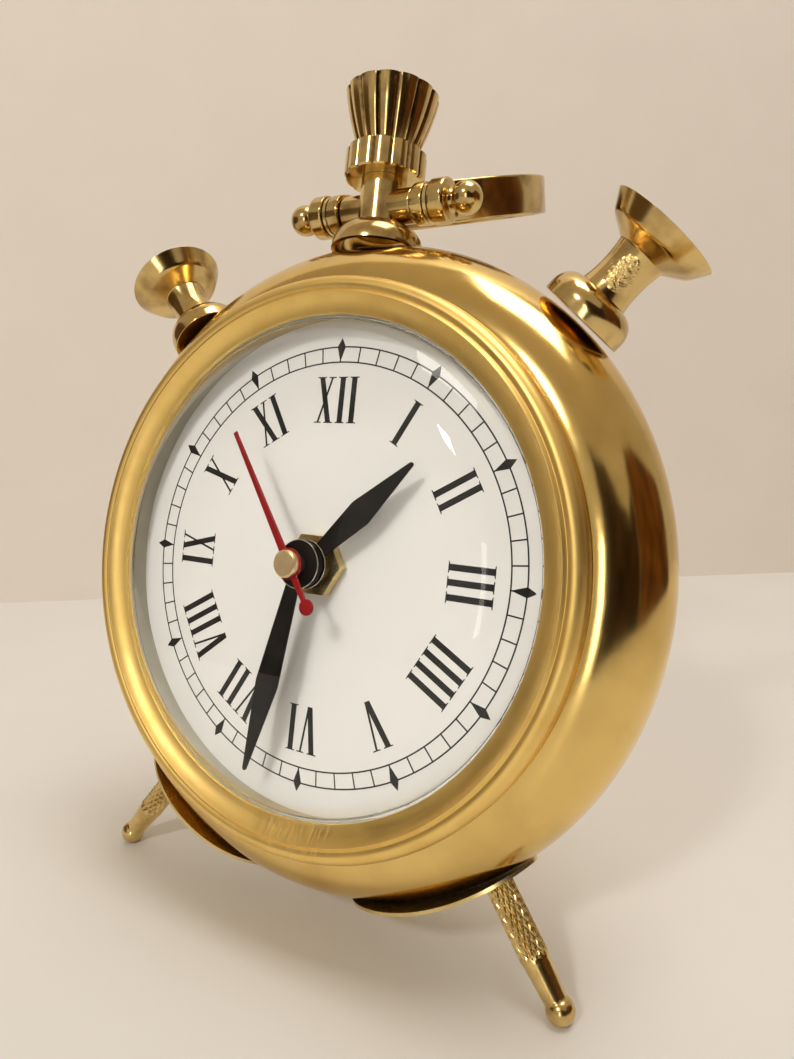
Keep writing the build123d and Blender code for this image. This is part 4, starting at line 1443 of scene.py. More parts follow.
@dataclass
class LanceHand:
    """A flat lance-shaped hand with a round hub.

    Attributes:
        name: Name of the piece.
        node: Node that it replaces.
        body: Body that it rides.
        angle_deg: Clockwise angle from twelve.
        length: Length from the axis to the tip.
        belly: Distance of the widest place from the axis.
        hub: Radius of the hub.
        front: Distance of the front face before the dial.
        half_width: Half width at the belly.
        neck: Half width at the hub.
        tip: Half width at the tip.
        thickness: Thickness of the sheet.
        boss: Height of the round boss behind the hub.
    """

    name: str
    node: str
    body: Body
    angle_deg: float
    length: float
    belly: float
    hub: float
    front: float
    half_width: float = 2.95
    neck: float = 1.5
    tip: float = 0.5
    thickness: float = 0.5
    boss: float = 0.0

    def outline(self) -> list[Point]:
        """Draw the blade and the hub, pointing up.

        Returns:
            The corners of the outline.
        """
        meet = math.acos(self.neck * 1.12 / self.hub)
        points = []
        steps = 48
        for step in range(steps + 1):
            angle = meet - step / steps * (math.pi + 2 * meet)
            points.append((self.hub * math.cos(angle), self.hub * math.sin(angle)))
        points.append((-self.half_width, self.belly))
        rise = self.length - self.tip
        for step in range(9):
            angle = math.pi - step / 8 * math.pi
            points.append((self.tip * math.cos(angle), rise + self.tip * math.sin(angle)))
        points.append((self.half_width, self.belly))
        return points

    def place(self) -> Matrix:
        """Return the transform from the hand's own plane to clock millimetres."""
        return hand_place(self.front, self.thickness, self.angle_deg)

    def build(self) -> None:
        """Cut the hand from sheet and break its edges."""
        form = bmesh.new()
        cut_sheet(form, self.outline(), self.thickness, 0.09)
        if self.boss > 0:
            cut_sheet(form, circle((0.0, 0.0), self.hub - 0.15), -self.boss, 0.12)
        mesh = close_mesh(form, self.name, 0.0)
        self.bare_edge()
        SHOP.piece(mesh, self.place(), self.body, HAND_BLACK, "black_hands", [self.node])

    def bare_edge(self) -> None:
        """Turn the bright worn edge of the hub."""
        top = self.thickness - 0.02
        corners = [
            (self.hub - 0.13, top - 0.1, 0.0),
            (self.hub + 0.02, top - 0.1, 0.0),
            (self.hub + 0.02, top, 0.0),
            (self.hub - 0.06, top + 0.06, 0.0),
            (self.hub - 0.13, top + 0.04, 0.0),
        ]
        mesh = Turning(corners, 96).mesh(f"{self.name}_edge")
        SHOP.piece(mesh, self.place(), self.body, BARE_EDGE, "steel")


def circle(centre: Point, radius: float, steps: int = 56) -> list[Point]:
    """Return the corners of a round outline."""
    turns = [2 * math.pi * step / steps for step in range(steps)]
    return [(centre[0] + radius * math.cos(turn), centre[1] + radius * math.sin(turn)) for turn in turns]


def cut_sheet(form: bmesh.types.BMesh, outline: Sequence[Point], thickness: float, edge: float) -> None:
    """Add a flat piece cut from sheet, with its edges broken.

    Args:
        form: Form that takes the piece.
        outline: Corners of the piece.
        thickness: Thickness, upwards from zero, or downwards when negative.
        edge: Width of the broken edge.
    """
    part = bmesh.new()
    base = part.faces.new([part.verts.new((x, y, 0.0)) for x, y in outline])
    raised = bmesh.ops.extrude_face_region(part, geom=[base])
    tops = [item for item in raised["geom"] if isinstance(item, bmesh.types.BMVert)]
    bmesh.ops.translate(part, verts=tops, vec=(0, 0, thickness))
    bmesh.ops.recalc_face_normals(part, faces=part.faces)
    rims = [item for item in part.edges if abs(item.verts[0].co.z - item.verts[1].co.z) < 1e-6]
    bmesh.ops.bevel(part, geom=rims, offset=edge, segments=2, profile=0.5, affect="EDGES")
    mesh = bpy.data.meshes.new("cut")
    part.to_mesh(mesh)
    part.free()
    form.from_mesh(mesh)
    bpy.data.meshes.remove(mesh)


@dataclass
class SecondHand:
    """Thin red hand with a round hub and a paddle on its tail.

    Attributes:
        angle_deg: Clockwise angle from twelve.
        length: Length from the axis to the tip.
        tail: Length of the tail.
        half_width: Half width at the hub.
        end_half_width: Half width at tip and tail.
        hub: Radius of the hub.
        paddle: Radius of the paddle.
        front: Distance of the front face before the dial.
        thickness: Thickness of the sheet.
    """

    angle_deg: float = 326.0
    length: float = 32.5
    tail: float = 10.0
    half_width: float = 0.95
    end_half_width: float = 0.5
    hub: float = 3.3
    paddle: float = 1.7
    front: float = 11.2
    thickness: float = 0.5

    def build(self) -> None:
        """Cut blade, hub and paddle."""
        wide, end = self.half_width, self.end_half_width
        blade = [
            (end, -self.tail),
            (wide, 0.0),
            (end, self.length),
            (-end, self.length),
            (-wide, 0.0),
            (-end, -self.tail),
        ]
        form = bmesh.new()
        cut_sheet(form, blade, self.thickness, 0.16)
        cut_sheet(form, circle((0.0, 0.0), self.hub), self.thickness * 0.98, 0.12)
        cut_sheet(form, circle((0.0, -self.tail), self.paddle), self.thickness * 0.98, 0.12)
        place = hand_place(self.front, self.thickness, self.angle_deg)
        mesh = close_mesh(form, "second_needle", 0.0)
        SHOP.piece(mesh, place, Body.SECONDS, HAND_RED, "red_hand", ["second_hand"])


@dataclass
class HandSet:
    """The three hands, the cap and the fixing in the middle of the dial.

    Attributes:
        hour: The hour hand.
        minute: The minute hand.
    """

    hour: LanceHand = field(
        default_factory=lambda: LanceHand(
            "hour_lance", "hour_hand", Body.HOURS, 46.0, 32.8, 17.3, 5.2, 5.3
        )
    )
    minute: LanceHand = field(
        default_factory=lambda: LanceHand(
            "minute_lance", "minute_hand", Body.MINUTES, 191.0, 46.6, 26.8, 5.2, 7.9, boss=1.4
        )
    )

    def build(self) -> None:
        """Cut the hands and dress the small parts."""
        self.hour.build()
        self.minute.build()
        SecondHand().build()
        SHOP.smooth_copy("second_cap", Body.SECONDS, TURNED, "polished_brass")
        for node in ("hex_nut", "stem_washer", "movement_stem"):
            SHOP.smooth_copy(node, Body.CLOCK, DULL, "polished_brass")
        for node in ("hour_wheel", "minute_wheel"):
            SHOP.dress(node, TUBES)
        SHOP.dress("second_wheel", NYLON)


@dataclass
class CrownGroup:
    """Bell seat, stem and fluted crown on top of the case.

    Attributes:
        rim_height: Height of the seat's rim above the clock's axis.
        seat_radius: Radius of the seat's rim.
        seat_height: Height of the seat.
        seat_wall: Wall of the seat.
        seat_bore: Radius of the hole in the seat.
        stem_radius: Radius of the stem.
        boss_radius: Radius of the two bosses on the stem.
        boss_end: Distance of their ends from the middle.
        pin_height: Height of their axis.
        crown_height: Height of the crown's foot.
        collar_radius: Radius of the fluted collar.
        collar_height: Height of the collar.
        neck_radius: Radius between collar and cup.
        neck_height: Height of that neck.
        cup_sides: Radii of the cup and the shares of its height where they lie.
        cup_height: Height of the cup.
        recess: Depth of the hollow in the cup.
        lobes: Number of lobes around.
        flute_depth: Depth of the grooves between them.
    """

    rim_height: float = 72.35
    seat_radius: float = 10.7
    seat_height: float = 6.0
    seat_wall: float = 1.1
    seat_bore: float = 3.2
    stem_radius: float = 5.25
    boss_radius: float = 3.9
    boss_end: float = 9.35
    pin_height: float = 82.5
    crown_height: float = 88.95
    collar_radius: float = 9.35
    collar_height: float = 6.4
    neck_radius: float = 6.3
    neck_height: float = 0.7
    cup_sides: Sequence[Point] = ((7.0, 0.0), (9.3, 0.5), (10.8, 1.0))
    cup_height: float = 12.5
    recess: float = 2.0
    lobes: int = 14
    flute_depth: float = 0.75

    def build(self) -> None:
        """Turn the seat and the crown, and smooth the stem."""
        top = self.rim_height + self.seat_height
        spread = self.seat_radius - self.stem_radius
        outer = arc_points((self.stem_radius, self.rim_height), (spread, self.seat_height), 0, 90, 20)
        inner = arc_points(
            (self.stem_radius, self.rim_height),
            (spread - self.seat_wall, self.seat_height - self.seat_wall),
            90,
            0,
            16,
        )
        hole = (self.seat_bore, top, 0.0), (self.seat_bore, top - self.seat_wall, 0.0)
        corners = [*outer, *hole, *inner]
        seat = Turning(corners, 128).mesh("crown_bell")
        SHOP.piece(seat, spoke(0), Body.CLOCK, POLISHED, "polished_brass", ["crown_seat"])
        self.build_stem()
        self.build_crown()

    def build_stem(self) -> None:
        """Turn the stem with its two bosses."""
        foot = self.rim_height + self.seat_height
        stem = Turning(
            [
                (0.0, foot, 0.0),
                (self.stem_radius, foot, 0.1),
                (self.stem_radius, self.crown_height, 0.1),
                (0.0, self.crown_height, 0.0),
            ],
            96,
        ).mesh("stem")
        boss = Turning(
            [
                (0.0, -self.boss_end, 0.0),
                (self.boss_radius, -self.boss_end, 0.5),
                (self.boss_radius, self.boss_end, 0.5),
                (0.0, self.boss_end, 0.0),
            ],
            96,
        ).mesh("boss")
        lift = Matrix.Translation((0, 0, self.pin_height))
        boss.transform(lift @ Matrix.Rotation(math.radians(90), 4, "Y"))
        form = bmesh.new()
        form.from_mesh(stem)
        form.from_mesh(boss)
        mesh = close_mesh(form, "crown_post")
        place = Matrix.Translation((0, BARREL_MID, 0))
        SHOP.piece(mesh, place, Body.CLOCK, POLISHED, "polished_brass", ["crown_stem"])

    def cup_radius(self, share: float) -> float:
        """Follow the smooth curve through the cup's sides.

        Args:
            share: Share of the cup's height.

        Returns:
            The cup's radius there.
        """
        total = 0.0
        for index, (radius, place) in enumerate(self.cup_sides):
            weight = 1.0
            for other, (_radius, there) in enumerate(self.cup_sides):
                if other != index:
                    weight *= (share - there) / (place - there)
            total += radius * weight
        return total

    def build_crown(self) -> None:
        """Turn the crown and press its flutes."""
        collar = self.collar_height
        neck = collar + self.neck_height
        rim = neck + self.cup_height
        side = [(self.collar_radius, 0.35 + (collar - 0.7) * step / 8, 0.0) for step in range(9)]
        cup = [(self.cup_radius(step / 24), neck + self.cup_height * step / 24, 0.0) for step in range(25)]
        edge = cup[-1][0]
        corners = [
            (0.0, 0.0, 0.0),
            (self.collar_radius - 0.4, 0.0, 0.0),
            *side,
            (self.collar_radius - 0.4, collar, 0.0),
            (self.neck_radius, collar, 0.0),
            (self.neck_radius, neck, 0.0),
            *cup,
            (edge - 0.5, rim, 0.0),
            (edge - 1.6, rim - 0.2, 0.0),
            (edge - 3.3, rim - self.recess, 0.0),
            (0.0, rim - self.recess, 0.0),
        ]
        mesh = Turning(corners, self.lobes * 16).mesh("fluted_crown")
        fluted = Flutes(self.lobes, self.flute_depth, -0.6, rim - 0.1, TARNISHED).make(mesh)
        form = bmesh.new()
        form.from_mesh(fluted)
        crown = close_mesh(form, "fluted_crown", 32.0)
        place = spoke(0, self.crown_height)
        SHOP.piece(crown, place, Body.CLOCK, TARNISHED, "polished_brass", ["crown"])


@dataclass
class StrapBow:
    """Flat strap bent to a ring, with its pivot screws and washers.

    Attributes:
        pin_height: Height of the pivot above the clock's axis.
        rest_deg: Angle of the bow above the clock's depth axis.
        outer: Outer radius of the ring.
        thickness: Thickness of the strap.
        eye_thickness: Thickness at the eyes.
        eye_inset: Distance of the eyes from the middle.
        centre: Distance of the ring's centre from the pivot.
        half_width: Half width of the strap at the eyes.
        taper: How much the half width shrinks to the far end.
        edge: Rounding of the strap's edges.
        bend_length: Length of the bend between an eye and the ring.
        screw_foot: Distance of the screw's inner end from the middle.
        screw_shank: Radius of the screw in the eye.
        screw_collar: Radius of the screw's collar.
        screw_start: Distance of the collar from the middle.
        collar_length: Length of the collar.
        screw_neck: Radius behind the ball.
        ball: Radius of the ball.
        ball_place: Distance of the ball from the middle.
    """

    pin_height: float = 82.5
    rest_deg: float = 24.0
    outer: float = 27.5
    thickness: float = 2.4
    eye_thickness: float = 3.0
    eye_inset: float = 9.65
    centre: float = 29.16
    half_width: float = 4.6
    taper: float = 0.35
    edge: float = 0.55
    bend_length: float = 2.6
    screw_foot: float = 8.0
    screw_shank: float = 1.4
    screw_collar: float = 4.9
    screw_start: float = 14.05
    collar_length: float = 3.8
    screw_neck: float = 2.2
    ball: float = 3.6
    ball_place: float = 21.7

    def path(self) -> list[tuple[float, float, float, float]]:
        """Return the strap's middle line.

        Returns:
            Places across and along the bow, half thickness and half width.
        """
        across = self.eye_inset + self.eye_thickness / 2
        middle = self.outer - self.thickness / 2
        meet = math.atan2(-math.sqrt(middle**2 - across**2), across)
        line: list[Point] = []
        for step in range(9):
            line.append((across, -self.half_width * math.cos(step / 8 * math.pi / 2)))
        line.extend((across, 0.8 * step) for step in range(1, 4))
        bend_end = meet + self.bend_length / middle
        start = Vector((across, self.bend_length))
        corner = Vector((across, self.centre + middle * math.sin(meet)))
        end = Vector((middle * math.cos(bend_end), self.centre + middle * math.sin(bend_end)))
        line.extend(tuple(bend(start, corner, end, step / 8)) for step in range(1, 9))
        steps = 60
        for step in range(1, steps + 1):
            angle = bend_end + (math.pi / 2 - bend_end) * step / steps
            line.append((middle * math.cos(angle), self.centre + middle * math.sin(angle)))
        path = []
        reach = self.centre + middle
        for place in line:
            thick = self.eye_thickness if place[1] < self.bend_length else self.thickness
            wide = self.half_width - self.taper * max(place[1], 0.0) / reach
            if place[1] < 0:
                wide = math.sqrt(max(self.half_width**2 - place[1] ** 2, 0.01))
            path.append((*place, thick / 2, wide))
        mirrored = [(-place[0], *place[1:]) for place in reversed(path[:-1])]
        return path + mirrored

    def section(self, half: float, wide: float) -> list[Point]:
        """Draw the rounded section of the strap.

        Args:
            half: Half of its thickness.
            wide: Half of its width.

        Returns:
            The corners of the section.
        """
        points = []
        edge = min(self.edge, half, wide)
        corners = ((1, 1, 0), (-1, 1, 90), (-1, -1, 180), (1, -1, 270))
        for side, end, start in corners:
            for step in range(5):
                angle = math.radians(start + 22.5 * step)
                out = side * (half - edge) + edge * math.cos(angle)
                points.append((out, end * (wide - edge) + edge * math.sin(angle)))
        return points

    def build(self) -> None:
        """Bend the strap and turn the screws."""
        path = self.path()
        form = bmesh.new()
        rings = []
        for index, (across, along, half, wide) in enumerate(path):
            before = Vector(path[max(index - 1, 0)][:2])
            after = Vector(path[min(index + 1, len(path) - 1)][:2])
            way = (after - before).normalized()
            side = Vector((way.y, -way.x))
            ring = []
            for out, up in self.section(half, wide):
                ring.append(form.verts.new((across + side.x * out, along + side.y * out, up)))
            rings.append(ring)
        for first, second in zip(rings, rings[1:]):
            Turning.join(form, first, second)
        form.faces.new(rings[0])
        form.faces.new(rings[-1])
        rise = Matrix.Translation((0, BARREL_MID, self.pin_height))
        place = rise @ Matrix.Rotation(math.radians(self.rest_deg), 4, "X")
        SHOP.piece(close_mesh(form, "strap_bow"), place, Body.BOW, POLISHED, "polished_brass", ["bow"])
        self.build_screws()
        SHOP.smooth_copy("bow_washers", Body.CLOCK, DULL, "polished_brass")

    def build_screws(self) -> None:
        """Turn the two ball-ended screws."""
        collar_end = self.screw_start + self.collar_length
        corners = [
            (0.0, self.screw_foot, 0.0),
            (self.screw_shank, self.screw_foot, 0.0),
            (self.screw_shank, self.screw_start, 0.0),
            (self.screw_collar, self.screw_start, 0.5),
            (self.screw_collar, collar_end, 0.9),
            (self.screw_neck + 0.4, collar_end + 0.35, 0.3),
            *ball_end(self.ball_place, self.ball, self.screw_neck),
        ]
        for name, side in (("right", 1), ("left", -1)):
            mesh = Turning(corners, 96).mesh(f"ball_screw_{name}")
            place = Matrix.Translation((0, BARREL_MID, self.pin_height))
            place = place @ Matrix.Rotation(math.radians(90 * side), 4, "Y")
            SHOP.piece(mesh, place, Body.CLOCK, POLISHED, "polished_brass", [f"bow_screw_{name}"])


@dataclass
class TrumpetOrnament:
    """Trumpet-shaped ornament on its domed collar.

    Attributes:
        name: Side of the ornament.
        angle_deg: Clockwise angle from the top.
        finish: Finish of the trumpet.
        collar_foot: Distance of the collar's foot from the clock's axis.
        collar_radius: Radius of the collar.
        collar_edge: Height of the collar's straight edge.
        collar_height: Height of the collar.
        neck_end: Radius at both ends of the neck.
        waist: Radius at the middle of the neck.
        neck_length: Length of the neck.
        step: Radius and height of the step in the cup.
        cup: Radius and height of the cup.
        dish: Depth of the dish.
        rim: Width of the rim.
    """

    name: str
    angle_deg: float
    finish: Finish
    collar_foot: float = 73.6
    collar_radius: float = 9.4
    collar_edge: float = 1.8
    collar_height: float = 6.2
    neck_end: float = 5.4
    waist: float = 4.9
    neck_length: float = 9.6
    step: Point = (9.6, 2.4)
    cup: Point = (12.0, 6.0)
    dish: float = 3.6
    rim: float = 0.9

    def build(self) -> None:
        """Turn the collar and the trumpet."""
        place = spoke(self.angle_deg)
        top = self.collar_foot + self.collar_height
        dome = arc_points(
            (self.neck_end, self.collar_foot + self.collar_edge),
            (self.collar_radius - self.neck_end, self.collar_height - self.collar_edge),
            0,
            90,
            16,
        )
        corners = [
            (0.0, self.collar_foot, 0.0),
            (self.collar_radius, self.collar_foot, 0.25),
            *dome,
            (0.0, top, 0.0),
        ]
        collar = Turning(corners, 128).mesh(f"collar_{self.name}")
        SHOP.piece(collar, place, Body.CLOCK, POLISHED, "polished_brass", [f"pusher_collar_{self.name}"])
        foot = top + 0.05
        cup_foot = top + self.neck_length
        rim = cup_foot + self.cup[1]
        dish = []
        for step in range(1, 12):
            part = 1 - step / 12
            reach = self.cup[0] - self.rim
            dish.append((reach * part, rim - self.dish * (1 - part**2), 0.0))
        corners = [
            (0.0, foot, 0.0),
            (self.neck_end, foot, 0.0),
            *bowed((self.neck_end, foot), (self.neck_end, cup_foot), self.neck_end - self.waist),
            (self.neck_end, cup_foot, 0.2),
            (self.step[0], cup_foot + self.step[1], 0.6),
            (self.cup[0], rim, 0.12),
            (self.cup[0] - self.rim, rim, 0.2),
            *dish,
            (0.0, rim - self.dish, 0.0),
        ]
        trumpet = Turning(corners, 128).mesh(f"trumpet_{self.name}")
        SHOP.piece(trumpet, place, Body.CLOCK, self.finish, "polished_brass", [f"pusher_{self.name}"])


@dataclass
class BallFoot:
    """Knurled foot that ends in a ball.

    Attributes:
        node: Node that it replaces.
        place: Where the foot starts, with its own Z along the foot.
        length: Distance of the ball from the start.
        shaft: Radius of the knurled shaft.
        tip: Radius above the ball.
        ball: Radius of the ball.
        knurl_end: Distance at which the knurling ends.
        knurl_count: Number of grooves of each hand around the shaft.
        knurl_pitch: Distance between grooves along the shaft.
        knurl_depth: Depth of the grooves.
        flat: Depth of the flat under the ball.
    """

    node: str
    place: Matrix
    length: float = 25.0
    shaft: float = 3.0
    tip: float = 2.35
    ball: float = 2.9
    knurl_end: float = 15.0
    knurl_count: int = 16
    knurl_pitch: float = 2.9
    knurl_depth: float = 0.36
    flat: float = 0.25

    def build(self) -> None:
        """Turn the foot, knurl it and grind its flat."""
        rise = math.sqrt(self.ball**2 - self.tip**2)
        globe = ball_end(self.length, self.ball, self.tip)
        steps = 130
        shaft = [(self.shaft, 0.3 + (self.knurl_end - 0.3) * step / steps, 0.0) for step in range(steps + 1)]
        end = self.length - rise
        taper = []
        for step in range(1, 13):
            part = step / 12
            radius = self.shaft - 0.12 + (self.tip - self.shaft + 0.12) * part
            taper.append((radius, self.knurl_end + 0.25 + (end - self.knurl_end - 0.25) * part, 0.0))
        corners = [(0.0, 0.05, 0.0), (self.shaft - 0.2, 0.05, 0.0), *shaft, *taper, *globe[1:]]
        mesh = Turning(corners, self.knurl_count * 12).mesh(f"{self.node}_knurled")
        knurl = Knurl(self.knurl_count, self.knurl_pitch, self.knurl_depth, 0.05, self.knurl_end, KNURLED)
        knurled = knurl.make(mesh)
        form = bmesh.new()
        form.from_mesh(knurled)
        up = (AXES.matrix() @ self.place).to_3x3().inverted() @ Vector((0, 0, 1))
        up.normalize()
        ground = Vector((0, 0, self.length)) - up * (self.ball - self.flat)
        loop = bmesh.ops.bisect_plane(
            form,
            geom=[*form.verts, *form.edges, *form.faces],
            plane_co=ground,
            plane_no=up,
            clear_inner=True,
        )
        rim = [item for item in loop["geom_cut"] if isinstance(item, bmesh.types.BMEdge)]
        bmesh.ops.contextual_create(form, geom=rim)
        foot = close_mesh(form, f"{self.node}_knurled", 50.0)
        SHOP.piece(foot, self.place, Body.CLOCK, KNURLED, "polished_brass", [self.node])


@dataclass
class Stand:
    """The three feet and the two saddle plates.

    Attributes:
        spread_deg: Angle of the front feet from the bottom.
        seat: Distance of the front feet's start from the clock's axis.
        rear_deg: Angle of the rear foot below the clock's depth axis.
        rear_ring: Radius at which the rear foot leaves the barrel.
        rear_seat: Distance of the rear foot's start from the barrel's middle.
    """

    spread_deg: float = 37.0
    seat: float = 73.8
    rear_deg: float = 17.48
    rear_ring: float = 59.5
    rear_seat: float = 14.11

    def build(self) -> None:
        """Build the feet and smooth the plates."""
        BallFoot("foot_right", spoke(180 - self.spread_deg, self.seat)).build()
        BallFoot("foot_left", spoke(180 + self.spread_deg, self.seat)).build()
        angle = math.radians(self.rear_deg)
        way = Vector((0, math.cos(angle), -math.sin(angle)))
        start = Vector((0, BARREL_MID, -self.rear_ring)) + way * self.rear_seat
        turn = way.to_track_quat("Z", "Y").to_matrix().to_4x4()
        BallFoot("foot_rear", Matrix.Translation(start) @ turn).build()
        for side in ("left", "right"):
            SHOP.smooth_copy(f"foot_plate_{side}", Body.CLOCK, DULL, "polished_brass")


@dataclass(frozen=True)
class Movement:
    """Quartz movement and the small parts inside the case.

    Attributes:
        finishes: Names of the nodes with their finishes.
    """

    finishes: Sequence[tuple[str, Finish]] = (
        ("spacer_ring", SPACER_GREEN),
        ("retaining_ring", STEEL),
        ("case_nuts", STEEL),
        ("movement_front", BLACK_PLASTIC),
        ("movement_back", GREY_PLASTIC),
        ("movement_gasket", RUBBER),
        ("third_wheel", NYLON),
        ("intermediate_wheel", NYLON),
        ("rotor", MAGNET),
        ("motion_wheel", NYLON),
        ("setting_knob", NYLON),
        ("stator", IRON),
        ("coil", WINDING),
        ("circuit_board", BOARD),
        ("battery", SLEEVE),
        ("battery_contacts", STEEL),
    )

    def build(self) -> None:
        """Give every inner part its finish."""
        for node, finish in self.finishes:
            SHOP.dress(node, finish)


class RearLid:
    """Push-fit lid on the back of the case."""

    def build(self) -> None:
        """Smooth the lid."""
        SHOP.smooth_copy("rear_cover", Body.LID, SPUN, "polished_brass")


@dataclass
class Studio:
    """Table, wall, lamps, dark cards and camera.

    Attributes:
        wall_left: Left end of the table's back edge in the picture, in metres.
        wall_right: Right end of that edge.
        table_reach: How far the table goes on to the left and to the front.
        wall_start: How far the wall goes on to the left.
        wall_end: How far it goes on to the right.
        wall_height: Height of the wall.
        camera_place: Place of the camera in clock millimetres.
        camera_right: Its right side, in the clock's axes.
        camera_up: Its up side, in the clock's axes.
        picture_height: Height of the picture in pixels at the focal length below.
        focal_pixels: Focal length in those pixels.
        lamp_colour: Colour of the lamps' light.
        lamp_aim: Place that the lamps point at.
        flag_distance: Distance of the dark cards from the clock.
    """

    wall_left: Point = (-0.318, 0.088)
    wall_right: Point = (0.077, 0.412)
    table_reach: float = 2.5
    wall_start: float = 0.2
    wall_end: float = 0.6
    wall_height: float = 2.6
    camera_place: Place = (96.02, -134.74, 9.07)
    camera_right: Place = (0.86251, 0.49566, 0.10199)
    camera_up: Place = (-0.08751, -0.05243, 0.99480)
    picture_height: float = 1059.0
    focal_pixels: float = 750.0
    lamp_colour: Colour = (1.0, 0.97, 0.92)
    lamp_aim: Place = (0.0, 0.0, 0.09)
    flag_distance: float = 0.75

    def build(self) -> None:
        """Set the stage, the light and the camera."""
        self.build_room()
        self.hang_lamps()
        self.stand_flags()
        self.fill_world()
        self.aim_camera()

    def sheet(
        self, name: str, corners: Sequence[Place], faces: Sequence[Sequence[int]], finish: Finish
    ) -> bpy.types.Object:
        """Add a sheet of the room to the scene.

        Args:
            name: Name of the sheet.
            corners: Its corners.
            faces: Its faces, by the numbers of their corners.
            finish: Finish of the sheet.

        Returns:
            The new object.
        """
        mesh = bpy.data.meshes.new(name)
        mesh.from_pydata(corners, [], faces)
        mesh.materials.append(finish.material())
        item = bpy.data.objects.new(name, mesh)
        bpy.context.scene.collection.objects.link(item)
        return item

    def build_room(self) -> None:
        """Lay the table and stand the wall at its back edge."""
        left, right = Vector(self.wall_left), Vector(self.wall_right)
        way = (right - left).normalized()
        toward = Vector((way.y, -way.x))
        first = left - way * self.table_reach
        wall_first = left - way * self.wall_start
        wall_last = right + way * self.wall_end
        near_first = first + toward * 2 * self.table_reach
        far_last = right + way * self.table_reach
        near_last = far_last + toward * 2 * self.table_reach
        table = Coated("table white", (0.80, 0.79, 0.765), (0.78, 0.77, 0.745), 0.5, 60.0, 0.00002, 0.3)
        wall = Coated("wall beige", (0.91, 0.85, 0.78), (0.89, 0.83, 0.76), 0.8, 40.0, 0.0002, 0.2)
        top = [(*place, 0.0) for place in (near_first, near_last, far_last, first)]
        self.sheet("table_top", top, [(0, 1, 2, 3)], table)
        low = [(*place, -0.02) for place in (wall_first, wall_last)]
        high = [(*place, self.wall_height) for place in (wall_last, wall_first)]
        self.sheet("wall", [*low, *high], [(0, 1, 2, 3)], wall)

    def flag(self, name: str, rim: Sequence[Point], finish: Finish) -> None:
        """Stand a dark card around the clock, which only the brass shows.

        Args:
            name: Name of the card.
            rim: Directions around the clock and heights of the card's edge, in degrees.
            finish: Finish of the card.
        """
        low, high = [], []
        for index, (turn, height) in enumerate(rim[:-1]):
            following = rim[index + 1]
            for step in range(8):
                part = step / 8
                angle = math.radians(turn + (following[0] - turn) * part)
                rise = math.radians(height + (following[1] - height) * part)
                place = (self.flag_distance * math.cos(angle), self.flag_distance * math.sin(angle))
                low.append((*place, 0.0))
                high.append((*place, self.flag_distance * math.tan(rise)))
        count = len(low)
        faces = [(index, index + 1, count + index + 1, count + index) for index in range(count - 1)]
        card = self.sheet(name, [*low, *high], faces, finish)
        card.visible_camera = False
        card.visible_shadow = False

    def stand_flags(self) -> None:
        """Stand the dark cards on the right and on the left."""
        black = Coated("black card", (0.015, 0.008, 0.004), (0.05, 0.025, 0.01), 0.9, 120.0, specular=0.0)
        brown = Coated("brown card", (0.06, 0.024, 0.007), (0.20, 0.085, 0.025), 0.9, 120.0, specular=0.0)
        tan = Coated("tan card", (0.17, 0.115, 0.065), (0.13, 0.085, 0.045), 0.9, 120.0, specular=0.0)
        self.flag("black_card", ((-66, 38), (-50, 38), (-35, 31), (-25, 27), (-14, 34)), black)
        self.flag("brown_card", ((-15, 34), (-5, 40), (10, 38), (25, 30), (38, 22)), brown)
        self.flag("tan_card", ((-178, 30), (-150, 32), (-116, 30)), tan)

    def lamp(self, name: str, place: Place, size: Point, power: float) -> None:
        """Hang one soft lamp that points at the clock.

        Args:
            name: Name of the lamp.
            place: Where it hangs.
            size: Its width and height.
            power: Power in watts.
        """
        data = bpy.data.lights.new(name, "AREA")
        data.shape = "RECTANGLE"
        data.size, data.size_y = size
        data.energy = power
        data.color = self.lamp_colour
        item = bpy.data.objects.new(name, data)
        item.location = place
        way = Vector(self.lamp_aim) - Vector(place)
        item.rotation_euler = way.to_track_quat("-Z", "Y").to_euler()
        bpy.context.scene.collection.objects.link(item)

    def hang_lamps(self) -> None:
        """Hang the lamps of the room."""
        self.lamp("front lamp", (-0.05, -1.27, 1.05), (0.16, 0.16), 5.6)
        self.lamp("ceiling lamp", (0.25, 0.05, 1.4), (0.6, 0.6), 7.1)
        self.lamp("strip lamp", (0.32, -1.05, 0.22), (0.13, 0.42), 0.8)

    def fill_world(self) -> None:
        """Fill the room with warm light that is a little brighter overhead."""
        world = bpy.data.worlds.new("room")
        world.use_nodes = True
        bpy.context.scene.world = world
        sheet = NodeSheet(world.node_tree)
        up = sheet.parts(sheet.add("ShaderNodeTexCoord").outputs["Generated"])[2]
        room = sheet.blend(sheet.span(up, 0.2, 0.7), (0.47, 0.42, 0.35), (0.42, 0.34, 0.25))
        room = sheet.blend(sheet.span(up, 0.75, 0.95), room, (0.50, 0.39, 0.26))
        background = world.node_tree.nodes["Background"]
        sheet.feed(background.inputs["Color"], room)
        background.inputs["Strength"].default_value = 1.0

    def aim_camera(self) -> None:
        """Stand the camera where the picture was taken."""
        data = bpy.data.cameras.new("picture")
        data.sensor_fit = "VERTICAL"
        data.sensor_height = 36.0
        data.lens = self.focal_pixels * 36.0 / self.picture_height
        data.clip_start = 0.005
        item = bpy.data.objects.new("picture", data)
        right, up = Vector(self.camera_right), Vector(self.camera_up)
        back = right.cross(up)
        turn = Matrix((right, up, back)).transposed()
        stand = AXES.matrix() @ Matrix.Translation(self.camera_place) @ turn.to_4x4()
        item.matrix_world = Matrix.LocRotScale(stand.to_translation(), stand.to_quaternion(), None)
        bpy.context.scene.collection.objects.link(item)
        bpy.context.scene.camera = item
        view = bpy.context.scene.view_settings
        view.view_transform = "Standard"


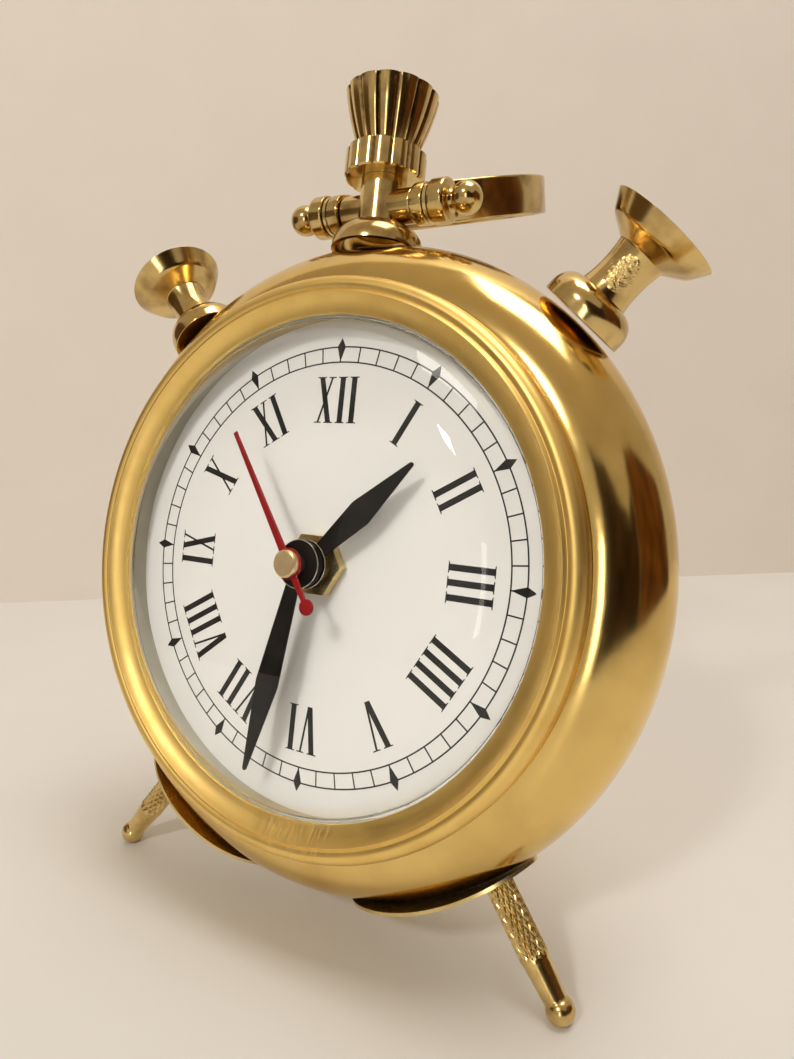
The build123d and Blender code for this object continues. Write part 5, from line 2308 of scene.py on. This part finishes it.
def main() -> None:
    """Build the clock, dress it and set the stage."""
    logging.basicConfig(level=logging.INFO, format="%(message)s")
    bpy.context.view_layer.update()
    makers: Sequence[Callable[[], object]] = (
        CaseBarrel().build,
        BezelAndGlass().build,
        DialFace().build,
        HandSet().build,
        CrownGroup().build,
        StrapBow().build,
        TrumpetOrnament("right", 42.3, PITTED).build,
        TrumpetOrnament("left", -42.3, POLISHED).build,
        Stand().build,
        Movement().build,
        RearLid().build,
        Studio().build,
    )
    for make in makers:
        make()


if __name__ == "__main__":
    main()
